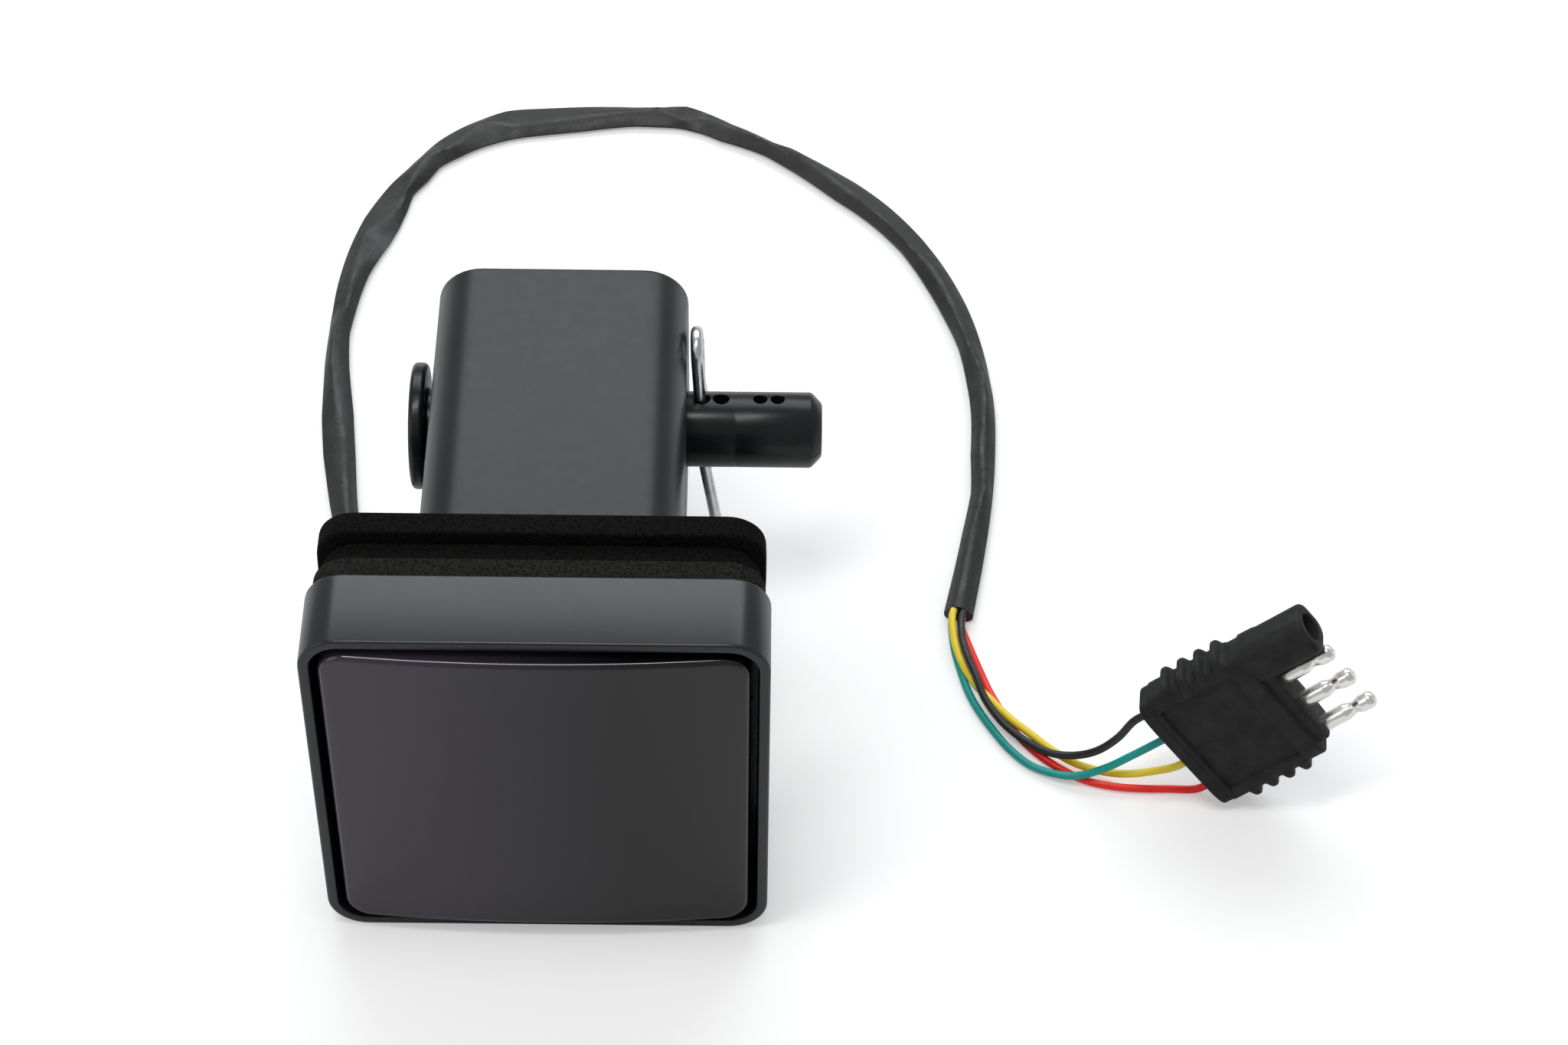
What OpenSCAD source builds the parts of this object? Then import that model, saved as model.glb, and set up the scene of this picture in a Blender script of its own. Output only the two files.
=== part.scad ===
// Tow hitch light cover: a square light on a hollow shank that is pushed into a 2 inch
// receiver and held by a hitch pin with a spring clip, with its cord and flat 4-way plug.
// X runs to the right seen from the lens, Y from the lens to the end of the shank, Z up.
// The origin is on the ground under the middle of the light, shank and pin.

/* [Housing] */
// Width and height of the square housing
face_w = 84; // [80:0.5:90]
// Depth of the housing
housing_d = 16; // [15:0.5:20]
// Outer corner radius of the housing
housing_r = 7.5; // [6:0.5:10]
// Thickness of the rim and side walls
rim_t = 2; // [1.5:0.1:2.2]
// Thickness of the back wall
back_t = 2.5; // [2:0.1:3]

/* [Lens] */
// Gap between the rim and the lens
lens_gap = 1.5; // [1:0.1:2]
// Corner radius of the lens
lens_r = 5; // [4:0.5:6]
// Wall of the lens and of the seat that carries it
lens_t = 2; // [1.5:0.1:2.5]
// How far the middle of the lens stands proud of the rim
lens_proud = 2.4; // [1.5:0.1:4]
// How far the lens falls back from its middle to its left and right edges
lens_crown = 2; // [1:0.1:2.5]
// Rounding of the front edge of the lens
lens_edge = 0.8; // [0.4:0.1:1.2]
// Depth of the lens skirt behind the rim
skirt_d = 5; // [4:0.5:5.5]
// Thickness of the lens seal
seal_t = 1; // [0.6:0.1:1.4]

/* [Light board] */
// Gap between the circuit board and the seat round it
board_gap = 1.5; // [1:0.1:3]
// Thickness of the circuit board
board_t = 1.6; // [1:0.1:2]
// Height of the bosses behind the board
boss_h = 3.5; // [3:0.1:4]
// Diameter of the bosses
boss_d = 6; // [5.5:0.1:6.5]
// Distance of the board screws from the board's edges
boss_edge = 4; // [3.5:0.1:4.5]
// Diameter of the board screws
board_screw_d = 2.6; // [2:0.1:3]
// Diameter of each light-emitting diode
led_d = 5; // [4:0.5:5.5]
// Height of each light-emitting diode
led_h = 5.2; // [4.5:0.1:5.4]
// Distance of the outer columns of diodes from the board's side edges
led_margin_x = 7; // [6:0.5:9]
// Distance of the outer rows of diodes from the board's top and bottom edges
led_margin_z = 13; // [12:0.5:15]
// Diameter of each resistor
resistor_d = 2.4; // [2:0.1:3]
// Length of each resistor
resistor_len = 6.3; // [5:0.1:8]
// Diameter of each rectifier diode
diode_d = 2.7; // [2.4:0.1:3]
// Length of each rectifier diode
diode_len = 5.2; // [4:0.1:7]

/* [Shank] */
// Width and height of the shank, for a 2 inch receiver
shank_w = 50; // [48:0.5:50.5]
// Corner radius of the shank
shank_r = 9; // [7:0.5:11]
// Wall of the shank
shank_t = 4; // [3:0.1:5]
// Distance from the rim's front to the free end of the shank
reach = 112.5; // [105:0.5:130]
// How far the flange that holds the shank stands out above and below it
flange_lip = 9; // [8.5:0.1:10]
// Thickness of the flange
flange_t = 5; // [4:0.5:6]
// Diameter of the screws that hold the shank
shank_screw_d = 4; // [3:0.1:4.4]

/* [Gasket] */
// How far the foam gasket stands in from the housing's sides
gasket_inset = 1; // [0:0.1:2]
// Corner radius of the gasket
gasket_r = 8; // [6:0.5:10]
// Thickness of the front and rear foam sheets
outer_sheet_t = 5; // [4:0.5:7]
// Thickness of the middle foam sheet
middle_sheet_t = 6; // [4:0.5:7]
// How far the middle sheet stands in from the other two
sheet_inset = 2.8; // [1:0.1:3.2]

/* [Hitch pin] */
// Diameter of the hitch pin
pin_d = 15.2; // [13:0.1:16]
// Distance of the pin's axis from the shank's free end
pin_back = 20.2; // [18:0.1:24]
// Length of the pin past the shank's right wall
pin_past = 27; // [26:0.1:40]
// Gap between the pin's head and the shank's left wall
head_gap = 2; // [0.5:0.1:4]
// Diameter of the pin's head
head_d = 25.5; // [22:0.5:28]
// Thickness of the pin's head
head_t = 3; // [2.5:0.1:5]
// Chamfer on the pin's free end
pin_chamfer = 2.1; // [1:0.1:3]
// Radial clearance of the pin in the shank
pin_clear = 0.1; // [0.05:0.01:0.1]
// Distance of the clip hole from the shank's wall
clip_at = 3; // [2.9:0.1:3.6]
// Diameter of the clip hole and of the spare one beside it
clip_hole_d = 3.4; // [3.1:0.1:3.6]
// Diameter of the two outer holes
outer_hole_d = 2.9; // [2.4:0.1:3.2]
// Distance from the shank's wall to the first outer hole
outer_hole_at = 14.6; // [13:0.1:16]
// Angle that the pin and its clip are turned in the shank
pin_turn = 10; // [0:1:20]

/* [Clip] */
// Diameter of the clip's wire
wire_d = 2.4; // [2:0.1:2.6]
// Height of the clip's loop above the pin's axis
clip_rise = 21.3; // [20:0.1:23]
// Length of the straight leg below the pin's axis
clip_drop = 35; // [28:0.5:35]
// Outer diameter of the loop
loop_d = 10.6; // [9.5:0.1:11]

/* [Cord and plug] */
// Diameter of the cord's sleeve
sleeve_d = 5; // [4.5:0.1:5]
// Diameter of each of the four wires
lead_d = 1.6; // [1.2:0.1:1.6]
// Distance between the plug's poles
pole_pitch = 7.05; // [6.8:0.05:7.2]
// Width of the plug over its flange
plug_w = 29.2; // [29:0.1:31]
// Thickness of the plug
plug_t = 10; // [9.5:0.5:11]
// Length of the plug's moulded body
plug_len = 26.8; // [26:0.1:30]
// Distance between the finger ribs on the plug's edges
rib_pitch = 3.9; // [3.4:0.1:4]
// How far the finger ribs stand out past the flange on each side
rib_proud = 2.2; // [1:0.1:3]
// Depth of the sunk panels in the plug's faces
panel_deep = 0.8; // [0.4:0.1:1.2]
// How far the terminals and the shroud stand out of the body
pole_len = 11.2; // [9:0.2:13]
// Diameter of the terminals
pole_d = 3.4; // [3:0.1:4]

/* [Hidden] */
$fn = 48;

// Clearances
screw_clear = 0.1;
foam_clear = 0.5;
cut = 1;

// Places along Y, from the rim's front at 0
back_y = housing_d - back_t;
board_y = back_y - boss_h - board_t;
front_sheet_y = housing_d;
middle_sheet_y = front_sheet_y + outer_sheet_t;
rear_sheet_y = middle_sheet_y + middle_sheet_t;
gasket_end_y = rear_sheet_y + outer_sheet_t;
pin_y = reach - pin_back;

// Lens
lens_w = face_w - 2 * (rim_t + lens_gap);
lens_radius = (lens_w * lens_w / 4 + lens_crown * lens_crown) / (2 * lens_crown);

// Light board
board_w = lens_w - 2 * (lens_t + board_gap);
boss_x = board_w / 2 - boss_edge;
led_columns = 5;
led_rows = 3;
led_pitch_x = (board_w - 2 * led_margin_x) / (led_columns - 1);
led_pitch_z = (board_w - 2 * led_margin_z) / (led_rows - 1);
resistor_z = led_pitch_z / 2;
diode_columns = 3;

// Screws
board_head_d = board_screw_d + 2;
board_head_h = 1.4;
board_screw_end = 0.5;
shank_head_d = shank_screw_d + 3;
shank_head_h = 1.8;
shank_screw_in = 7;
shank_screw_out = 3.5;
shank_screw_x = shank_w / 2 - shank_screw_in;
shank_screw_z = shank_w / 2 + shank_screw_out;
shank_screw_end = 0.4;

// Flange and foam gasket
flange_h = shank_w + 2 * flange_lip;
gasket_w = face_w - 2 * gasket_inset;

// Grommet in the back wall, between the flange and the lens seat
grommet_flange_d = 6;
grommet_flange_t = 1.5;
grommet_hole_d = 4.6;
grommet_gap = 0.8;
grommet_x = -(shank_w / 2 + grommet_gap + grommet_flange_d / 2);
grommet_z = -14;

// Pin: distances from the middle of the shank along X
wall_x = shank_w / 2;
pin_end_x = wall_x + pin_past;
head_x = -wall_x - head_gap;
hole_web = 0.4;
outer_hole_web = 0.6;
clip_x = wall_x + clip_at;
hole_places = [
    [clip_x, clip_hole_d],
    [clip_x + clip_hole_d + hole_web, clip_hole_d],
    [wall_x + outer_hole_at, outer_hole_d],
    [wall_x + outer_hole_at + outer_hole_d + outer_hole_web, outer_hole_d]];
groove_x = wall_x + 9.8;
groove_w = 0.8;
groove_deep = 0.3;

// The clip leans as far as its hole lets it, with its loop toward the shank
clip_slack = 0.1;
clip_lean = atan((clip_hole_d - wire_d - clip_slack) / pin_d);

// Place of the origin
mid_x = (pin_end_x - face_w / 2) / 2;
mid_y = (reach - lens_proud) / 2;
ground = -face_w / 2;
datum = [-mid_x, -mid_y, -ground];

// Plug: it stands on one corner of its rear flange, held up by its wires
plug_turn = [76, -40.5, 3];
plug_round = 2;
plug_flange_t = 2.4;
plug_height = cos(plug_turn[1]) * (plug_round + (plug_w / 2 - plug_round) * sin(plug_turn[0])
    + (plug_t / 2 - plug_round) * cos(plug_turn[0]));
plug_place = [118.5, -18.5, plug_height];
pole_y = [for (i = [0:3]) (1.5 - i) * pole_pitch];
rib_t = 1.8;
rib_count = 4;
rib_from = plug_flange_t + 3.9;
rim_from = rib_from + rib_count * rib_pitch - rib_t / 2 - 0.3;
rim_end = plug_len - 2.4;
nose_side = 2.2;
pole_seat = 6;
pole_gap = 0.1;

// Route of the sleeve: from the grommet through the foam, down to the ground behind the
// housing, round behind the shank and back on the right; round numbers chosen by hand
sleeve_start = [grommet_x, front_sheet_y + grommet_flange_t, grommet_z] + datum;
sleeve_route = concat([sleeve_start, sleeve_start + [0, 8, 0], sleeve_start + [0, 16, -0.5]], [
    [-37.5, -12, 24], [-39, -1, 17], [-41.5, 9.5, 9.5], [-45, 21, 4], [-49, 34, 2.5],
    [-52.5, 48.5, 2.5], [-55, 65, 2.5], [-57, 80, 2.5], [-58.5, 94, 2.5], [-58.5, 109, 2.5],
    [-56.5, 124, 2.5], [-52, 139, 2.5], [-45.5, 153, 2.5], [-37, 165, 2.5], [-25.5, 172.5, 2.5],
    [-11.5, 175, 2.5], [3.5, 176, 2.5], [15.5, 175, 2.5], [27.5, 170.5, 2.5], [39.5, 163, 2.5],
    [50.5, 153.5, 2.5], [61, 142.5, 2.5], [69.5, 129.5, 2.5], [76, 115.5, 2.5],
    [80.5, 101, 2.5], [83, 85.5, 2.5], [83, 70, 2.5], [81.5, 55, 2.5], [79, 39, 2.5],
    [76, 23, 2.5]]);

// Routes of the wires from the sleeve's end to the plug, round numbers chosen by hand
yellow_route = [[75, 15, 3], [76.5, 9.5, 2.5], [79, 4.5, 2], [82, 0, 2.5], [85.5, -4.5, 2.5],
    [89.5, -8.5, 2.5], [93.5, -12, 2], [98, -15, 1.5], [103, -17, 1.5], [108, -18.5, 2.5],
    [113, -19, 4]];
green_route = [[75, 15, 1], [76, 9.5, 1], [77.5, 3.5, 1], [79.5, -1.5, 1], [82.5, -7, 1],
    [85.5, -11.5, 1], [89.5, -15.5, 1], [94.5, -18, 1.5], [99, -19, 2.5], [104, -19, 5],
    [108.5, -18.5, 8]];
black_route = [[76.5, 15.5, 3.5], [77.5, 10, 4], [79, 5, 4], [80.5, 0, 3.5], [83, -4.5, 3],
    [86, -8, 2.5], [90, -11.5, 2.5], [94, -14, 3], [98.5, -15.5, 4.5], [102.5, -16.5, 7.5],
    [106, -16.5, 11.5]];
red_route = [[78, 15, 1.5], [80, 9, 1], [82, 3, 1], [84.5, -2.5, 1], [87, -7.5, 1],
    [90.5, -12, 1], [95, -16, 1], [100, -19, 1], [105.5, -20.5, 1], [111, -21, 1],
    [116.5, -21, 1]];

// Tube of diameter d along a route, as rings that keep their turn from point to point
function unit(v) = v / norm(v);
function heading(route, i) =
    i == 0 ? unit(route[1] - route[0])
    : i == len(route) - 1 ? unit(route[i] - route[i - 1])
    : unit(unit(route[i] - route[i - 1]) + unit(route[i + 1] - route[i]));
function square_to(side, ahead) = unit(side - (side * ahead) * ahead);
function sides(route, i, first) =
    i == 0 ? [square_to(first, heading(route, 0))]
    : let (before = sides(route, i - 1, first))
        concat(before, [square_to(before[i - 1], heading(route, i))]);

module tube(route, d, faces, first = [0, 0, 1]) {
    n = len(route);
    side = sides(route, n - 1, first);
    points = [for (i = [0:n - 1], j = [0:faces - 1])
        let (angle = 360 * j / faces, over = cross(heading(route, i), side[i]))
            route[i] + d / 2 * (cos(angle) * side[i] + sin(angle) * over)];
    skin = [for (i = [0:n - 2], j = [0:faces - 1])
        let (k = (j + 1) % faces, a = i * faces)
            [a + j, a + faces + j, a + faces + k, a + k]];
    polyhedron(points, concat(skin,
        [[for (j = [0:faces - 1]) j]],
        [[for (j = [faces - 1:-1:0]) (n - 1) * faces + j]]));
}

// Outline of a square or rectangle with round corners, in the X-Z plane's width and height
module rounded(w, h, r) {
    square([w - 2 * r, h], center = true);
    square([w, h - 2 * r], center = true);
    for (x = [-1, 1], y = [-1, 1])
        translate([x * (w / 2 - r), y * (h / 2 - r)])
            circle(r);
}

// Slab of a rounded outline from y0 to y1
module slab(w, h, r, y0, y1) {
    translate([0, y1, 0])
        rotate([90, 0, 0])
            linear_extrude(y1 - y0)
                rounded(w, h, r);
}

// Straight round bar along Y from y0 to y1
module bar(x, z, d, y0, y1) {
    translate([x, y1, z])
        rotate([90, 0, 0])
            cylinder(d = d, h = y1 - y0);
}

module place() {
    translate(datum)
        children();
}

module housing() {
    color([0.12, 0.12, 0.13]) place() difference() {
        union() {
            difference() {
                slab(face_w, face_w, housing_r, 0, housing_d);
                slab(face_w - 2 * rim_t, face_w - 2 * rim_t, housing_r - rim_t, -cut, back_y);
            }
            difference() {
                slab(lens_w, lens_w, lens_r, skirt_d + seal_t, back_y + cut);
                slab(lens_w - 2 * lens_t, lens_w - 2 * lens_t, lens_r - lens_t, skirt_d, back_y);
            }
            for (x = [-boss_x, boss_x], z = [-boss_x, boss_x])
                bar(x, z, boss_d, back_y - boss_h, back_y + cut);
        }
        for (x = [-boss_x, boss_x], z = [-boss_x, boss_x])
            bar(x, z, board_screw_d + 2 * screw_clear, back_y - boss_h - cut, back_y);
        for (x = [-shank_screw_x, shank_screw_x], z = [-shank_screw_z, shank_screw_z])
            bar(x, z, shank_screw_d + 2 * screw_clear, back_y - cut, housing_d + cut);
        bar(grommet_x, grommet_z, grommet_hole_d, back_y - cut, housing_d + cut);
    }
}

// Front of the lens: part of a large upright cylinder, cut to the rounded outline
module lens_form(inset) {
    intersection() {
        slab(lens_w - 2 * inset, lens_w - 2 * inset, lens_r - inset, -lens_proud - cut, skirt_d);
        translate([0, lens_radius - lens_proud, -face_w / 2])
            cylinder(r = lens_radius - inset, h = face_w, $fn = 360);
    }
}

module lens() {
    color([0.08, 0.05, 0.07]) place() difference() {
        intersection() {
            minkowski() {
                $fn = 32;
                lens_form(lens_edge);
                sphere(lens_edge, $fn = 12);
            }
            slab(face_w, face_w, lens_r, -lens_proud - cut, skirt_d);
        }
        translate([0, cut, 0])
            lens_form(lens_t, $fn = 32);
    }
}

module lens_seal() {
    color([0.1, 0.1, 0.1]) place() difference() {
        slab(lens_w, lens_w, lens_r, skirt_d, skirt_d + seal_t);
        slab(lens_w - 2 * lens_t, lens_w - 2 * lens_t, lens_r - lens_t, skirt_d - cut,
            skirt_d + seal_t + cut);
    }
}

module led_board() {
    color([0.9, 0.9, 0.87]) place() difference() {
        slab(board_w, board_w, 2, board_y, board_y + board_t);
        for (x = [-boss_x, boss_x], z = [-boss_x, boss_x])
            bar(x, z, board_screw_d + 2 * screw_clear, board_y - cut, board_y + board_t + cut);
    }
}

module board_leads() {
    color([0.8, 0.2, 0.15]) place()
        for (x = [-1, 1], z = [-1, 1])
            bar(grommet_x + x * lead_d * 0.6, grommet_z + z * lead_d * 0.6, lead_d,
                board_y + board_t, back_y - grommet_flange_t);
}

module board_screws() {
    color([0.75, 0.75, 0.77]) place()
        for (x = [-boss_x, boss_x], z = [-boss_x, boss_x]) {
            bar(x, z, board_head_d, board_y - board_head_h, board_y);
            bar(x, z, board_screw_d, board_y - board_head_h, back_y - board_screw_end);
        }
}

// One light-emitting diode: a flange, a round body and a domed end
module led(i) {
    column = (i - 1) % led_columns;
    row = floor((i - 1) / led_columns);
    x = (column - (led_columns - 1) / 2) * led_pitch_x;
    z = ((led_rows - 1) / 2 - row) * led_pitch_z;
    color([0.95, 0.92, 0.9]) place()
        translate([x, board_y, z])
            rotate([90, 0, 0])
                rotate_extrude() {
                    square([led_d / 2 + 0.4, 1]);
                    square([led_d / 2, led_h - led_d / 2]);
                    translate([0, led_h - led_d / 2])
                        intersection() {
                            circle(d = led_d);
                            square(led_d);
                        }
                }
}

module board_barrel(x, z, d, length, shade) {
    color(shade) place()
        translate([x - length / 2, board_y - d / 2, z])
            rotate([0, 90, 0])
                cylinder(d = d, h = length);
}

module resistor(i) {
    board_barrel((i - (led_columns + 1) / 2) * led_pitch_x, resistor_z, resistor_d, resistor_len,
        [0.75, 0.65, 0.45]);
}

module diode(i) {
    board_barrel((i - (diode_columns + 1) / 2) * led_pitch_x, -resistor_z, diode_d, diode_len,
        [0.1, 0.1, 0.1]);
}

// Shank: a plate screwed to the housing and a square tube open at its free end
module shank() {
    color([0.13, 0.13, 0.14]) place() difference() {
        union() {
            slab(shank_w, flange_h, shank_r, front_sheet_y, front_sheet_y + flange_t);
            slab(shank_w, shank_w, shank_r, front_sheet_y, reach);
        }
        slab(shank_w - 2 * shank_t, shank_w - 2 * shank_t, shank_r - shank_t,
            front_sheet_y + flange_t, reach + cut);
        translate([-shank_w, pin_y, 0])
            rotate([0, 90, 0])
                cylinder(d = pin_d + 2 * pin_clear, h = 2 * shank_w);
        for (x = [-shank_screw_x, shank_screw_x], z = [-shank_screw_z, shank_screw_z])
            bar(x, z, shank_screw_d + 2 * screw_clear, front_sheet_y - cut,
                front_sheet_y + flange_t + cut);
    }
}

module shank_screws() {
    color([0.75, 0.75, 0.77]) place()
        for (x = [-shank_screw_x, shank_screw_x], z = [-shank_screw_z, shank_screw_z]) {
            bar(x, z, shank_head_d, back_y - shank_head_h, back_y);
            bar(x, z, shank_screw_d, back_y - shank_head_h,
                front_sheet_y + flange_t - shank_screw_end);
        }
}

// Foam sheet from y0 to y1 round an opening, with a hole for the cord
module foam(w, y0, y1, opening_w, opening_h, cord_hole_d) {
    color([0.16, 0.15, 0.15]) place() difference() {
        slab(w, w, gasket_r, y0, y1);
        slab(opening_w + 2 * foam_clear, opening_h + 2 * foam_clear, shank_r + foam_clear,
            y0 - cut, y1 + cut);
        bar(grommet_x, grommet_z, cord_hole_d, y0 - cut, y1 + cut);
    }
}

module gasket_front_sheet() {
    foam(gasket_w, front_sheet_y, middle_sheet_y, shank_w, flange_h, grommet_flange_d + 0.4);
}

module gasket_middle_sheet() {
    foam(gasket_w - 2 * sheet_inset, middle_sheet_y, rear_sheet_y, shank_w, shank_w,
        sleeve_d + 2 * foam_clear);
}

module gasket_rear_sheet() {
    foam(gasket_w, rear_sheet_y, gasket_end_y, shank_w, shank_w, sleeve_d + 4 * foam_clear);
}

// Hitch pin: a turned bar with a round-edged head, a chamfered end and four cross holes
module hitch_pin() {
    edge = head_t / 3;
    color([0.1, 0.1, 0.11]) place() translate([0, pin_y, 0]) difference() {
        rotate([0, 90, 0])
            rotate_extrude() {
                translate([0, head_x - head_t])
                    square([head_d / 2 - edge, head_t]);
                translate([0, head_x - head_t + edge])
                    square([head_d / 2, head_t - 2 * edge]);
                for (along = [head_x - head_t + edge, head_x - edge])
                    translate([head_d / 2 - edge, along])
                        circle(edge);
                polygon([
                    [0, head_x - edge],
                    [pin_d / 2, head_x - edge],
                    [pin_d / 2, groove_x - groove_w / 2],
                    [pin_d / 2 - groove_deep, groove_x],
                    [pin_d / 2, groove_x + groove_w / 2],
                    [pin_d / 2, pin_end_x - pin_chamfer],
                    [pin_d / 2 - pin_chamfer, pin_end_x],
                    [0, pin_end_x]]);
            }
        for (hole = hole_places)
            translate([hole[0], 0, 0])
                rotate([-pin_turn, 0, 0])
                    cylinder(d = hole[1], h = 2 * pin_d, center = true);
    }
}

// Points of an arc round a centre in the clip's plane, from one angle to the other
function arc(centre, r, from, to, steps) =
    [for (i = [0:steps]) let (angle = from + (to - from) * i / steps)
        centre + r * [cos(angle), sin(angle)]];

// Spring clip of one bent wire: a straight leg through the pin, a loop above it, and a
// second leg that comes in to a waist, goes round the back of the pin and flares out.
// The arcs of the loop, the waist and the pin touch each other, which places the waist.
module hairpin_clip() {
    loop_r = (loop_d - wire_d) / 2;
    loop_at = [loop_r, clip_rise - loop_d / 2];
    bow_r = (pin_d + wire_d) / 2 + clip_slack;
    waist_r = 2.5;
    reach_pin = bow_r + waist_r;
    reach_loop = loop_r + waist_r;
    span = norm(loop_at);
    turn_in = acos((reach_pin * reach_pin + span * span - reach_loop * reach_loop)
        / (2 * reach_pin * span));
    waist_angle = atan2(loop_at[1], loop_at[0]) - turn_in;
    waist_at = reach_pin * [cos(waist_angle), sin(waist_angle)];
    loop_end = atan2(waist_at[1] - loop_at[1], waist_at[0] - loop_at[0]);
    flare = 30;
    flare_len = 3;
    lower_waist_at = [waist_at[0], -waist_at[1]];
    flare_from = lower_waist_at + waist_r * [cos(180 + flare), sin(180 + flare)];
    route = concat(
        [[0, -clip_drop], [0, -pin_d], [0, 0]],
        arc(loop_at, loop_r, 180, loop_end, 14),
        arc(waist_at, waist_r, loop_end + 180, waist_angle + 180, 6),
        arc([0, 0], bow_r, waist_angle, -waist_angle, 9),
        arc(lower_waist_at, waist_r, 180 - waist_angle, 180 + flare, 6),
        [flare_from + flare_len * [sin(flare), -cos(flare)]]);
    kept = [for (i = [0:len(route) - 1])
        if (i == 0 || norm(route[i] - route[i - 1]) > 0.01) route[i]];
    color([0.8, 0.8, 0.82]) place()
        translate([clip_x, pin_y, 0])
            rotate([-pin_turn, 0, 0])
                rotate([0, -clip_lean, 0])
                    tube([for (p = kept) [0, p[0], p[1]]], wire_d, 12, [1, 0, 0]);
}

module cable_grommet() {
    color([0.1, 0.1, 0.1]) place() {
        bar(grommet_x, grommet_z, grommet_flange_d, back_y - grommet_flange_t, back_y);
        bar(grommet_x, grommet_z, grommet_hole_d - 2 * screw_clear, back_y - cut,
            housing_d + cut);
        bar(grommet_x, grommet_z, grommet_flange_d, housing_d, housing_d + grommet_flange_t);
    }
}

module cord_sleeve() {
    color([0.15, 0.15, 0.15])
        tube(sleeve_route, sleeve_d, 10);
}

// Wires: each starts on the sleeve's end, one of four in a square, and ends at its pole
function turned(p) =
    let (a = plug_turn[0], b = plug_turn[1], c = plug_turn[2],
        q = [p[0], p[1] * cos(a) - p[2] * sin(a), p[1] * sin(a) + p[2] * cos(a)],
        s = [q[0] * cos(b) + q[2] * sin(b), q[1], q[2] * cos(b) - q[0] * sin(b)])
    [s[0] * cos(c) - s[1] * sin(c), s[0] * sin(c) + s[1] * cos(c), s[2]];
function on_plug(p) = plug_place + turned(p);

module wire(shade, across, up, pole, route) {
    last = len(sleeve_route) - 1;
    ahead = heading(sleeve_route, last);
    start = sleeve_route[last] + lead_d * 0.6 * (across * [-ahead[1], ahead[0], 0] + [0, 0, up]);
    color(shade)
        tube(concat([start, start + 1.5 * lead_d * ahead], route,
            [on_plug([-2.5 * lead_d, pole_y[pole], 0]), on_plug([0, pole_y[pole], 0])]),
            lead_d, 8);
}

module wire_yellow() {
    wire([0.9, 0.85, 0.3], -1, 1, 2, yellow_route);
}

module wire_green() {
    wire([0.0, 0.65, 0.6], -1, -1, 1, green_route);
}

module wire_black() {
    wire([0.15, 0.15, 0.15], 1, 1, 0, black_route);
}

module wire_red() {
    wire([0.85, 0.15, 0.1], 1, -1, 3, red_route);
}

// Places something on the plug: X toward the terminals, Y across to the shroud, Z to the face
module on_plug_axes() {
    translate(plug_place)
        rotate(plug_turn)
            children();
}

// Block along the plug's X from u0 to u1 with round edges
module plug_block(u0, u1, w, t, r, y = 0) {
    translate([u0, y, 0])
        rotate([90, 0, 90])
            linear_extrude(u1 - u0)
                rounded(w, t, r);
}

// Plug: a flanged grip with finger ribs and sunk panels, a raised front rim, a thinner nose
// and a shroud round the one pole that is a socket
module plug_body() {
    nose_w = plug_w - 2 * nose_side;
    grip_w = plug_w - 1.6;
    shroud_w = pole_pitch + 2;
    panel_from = plug_flange_t + 1.2;
    panel_w = grip_w - 4;
    color([0.14, 0.14, 0.14]) on_plug_axes() difference() {
        union() {
            plug_block(0, plug_flange_t, plug_w, plug_t, plug_round);
            plug_block(0, rim_from, grip_w, plug_t - 0.8, plug_round);
            plug_block(rim_from, rim_end, plug_w, plug_t, plug_round);
            plug_block(rim_end - cut, plug_len, nose_w, plug_t - 2, plug_round);
            for (i = [0:rib_count - 1])
                plug_block(rib_from + i * rib_pitch, rib_from + i * rib_pitch + rib_t,
                    plug_w + 2 * rib_proud, plug_t - 2.4, 1.6);
            plug_block(rim_end, plug_len + pole_len, shroud_w, plug_t - 0.8, shroud_w / 3,
                pole_y[0]);
        }
        for (side = [0, 1])
            rotate([180 * side, 0, 0])
                translate([panel_from, -panel_w / 2, plug_t / 2 - 0.4 - panel_deep])
                    cube([rim_from - panel_from - 0.8, panel_w, plug_t]);
        translate([plug_len, pole_y[0], 0])
            rotate([0, 90, 0])
                cylinder(d = pole_d + 2.4, h = pole_len + cut);
        for (i = [1:3])
            plug_bore(i, pole_d);
        plug_bore(0, pole_d + 1);
    }
}

// Bore that a terminal of diameter d sits in
module plug_bore(i, d) {
    translate([plug_len - pole_seat, pole_y[i], 0])
        rotate([0, 90, 0])
            cylinder(d = d + 2 * screw_clear, h = pole_seat + cut);
}

// Bullet terminal: a stem, a waist and a rounded head
module plug_terminal(i) {
    r = pole_d / 2;
    color([0.85, 0.83, 0.8]) on_plug_axes()
        translate([plug_len, pole_y[i], 0])
            rotate([0, 90, 0])
                rotate_extrude()
                    polygon([
                        [0, pole_gap - pole_seat], [r, pole_gap - pole_seat], [r, pole_len - 6.2],
                        [r - 0.7, pole_len - 5], [r - 0.7, pole_len - 4.4], [r, pole_len - 3.2],
                        [r, pole_len - 0.8], [r - 0.8, pole_len], [0, pole_len]]);
}

module plug_socket_terminal() {
    color([0.85, 0.83, 0.8]) on_plug_axes()
        translate([plug_len + pole_gap - pole_seat, pole_y[0], 0])
            rotate([0, 90, 0])
                difference() {
                    cylinder(d = pole_d + 1, h = pole_seat - pole_gap + pole_len - 2);
                    translate([0, 0, 4])
                        cylinder(d = pole_d, h = pole_seat + pole_len);
                }
}

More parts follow.
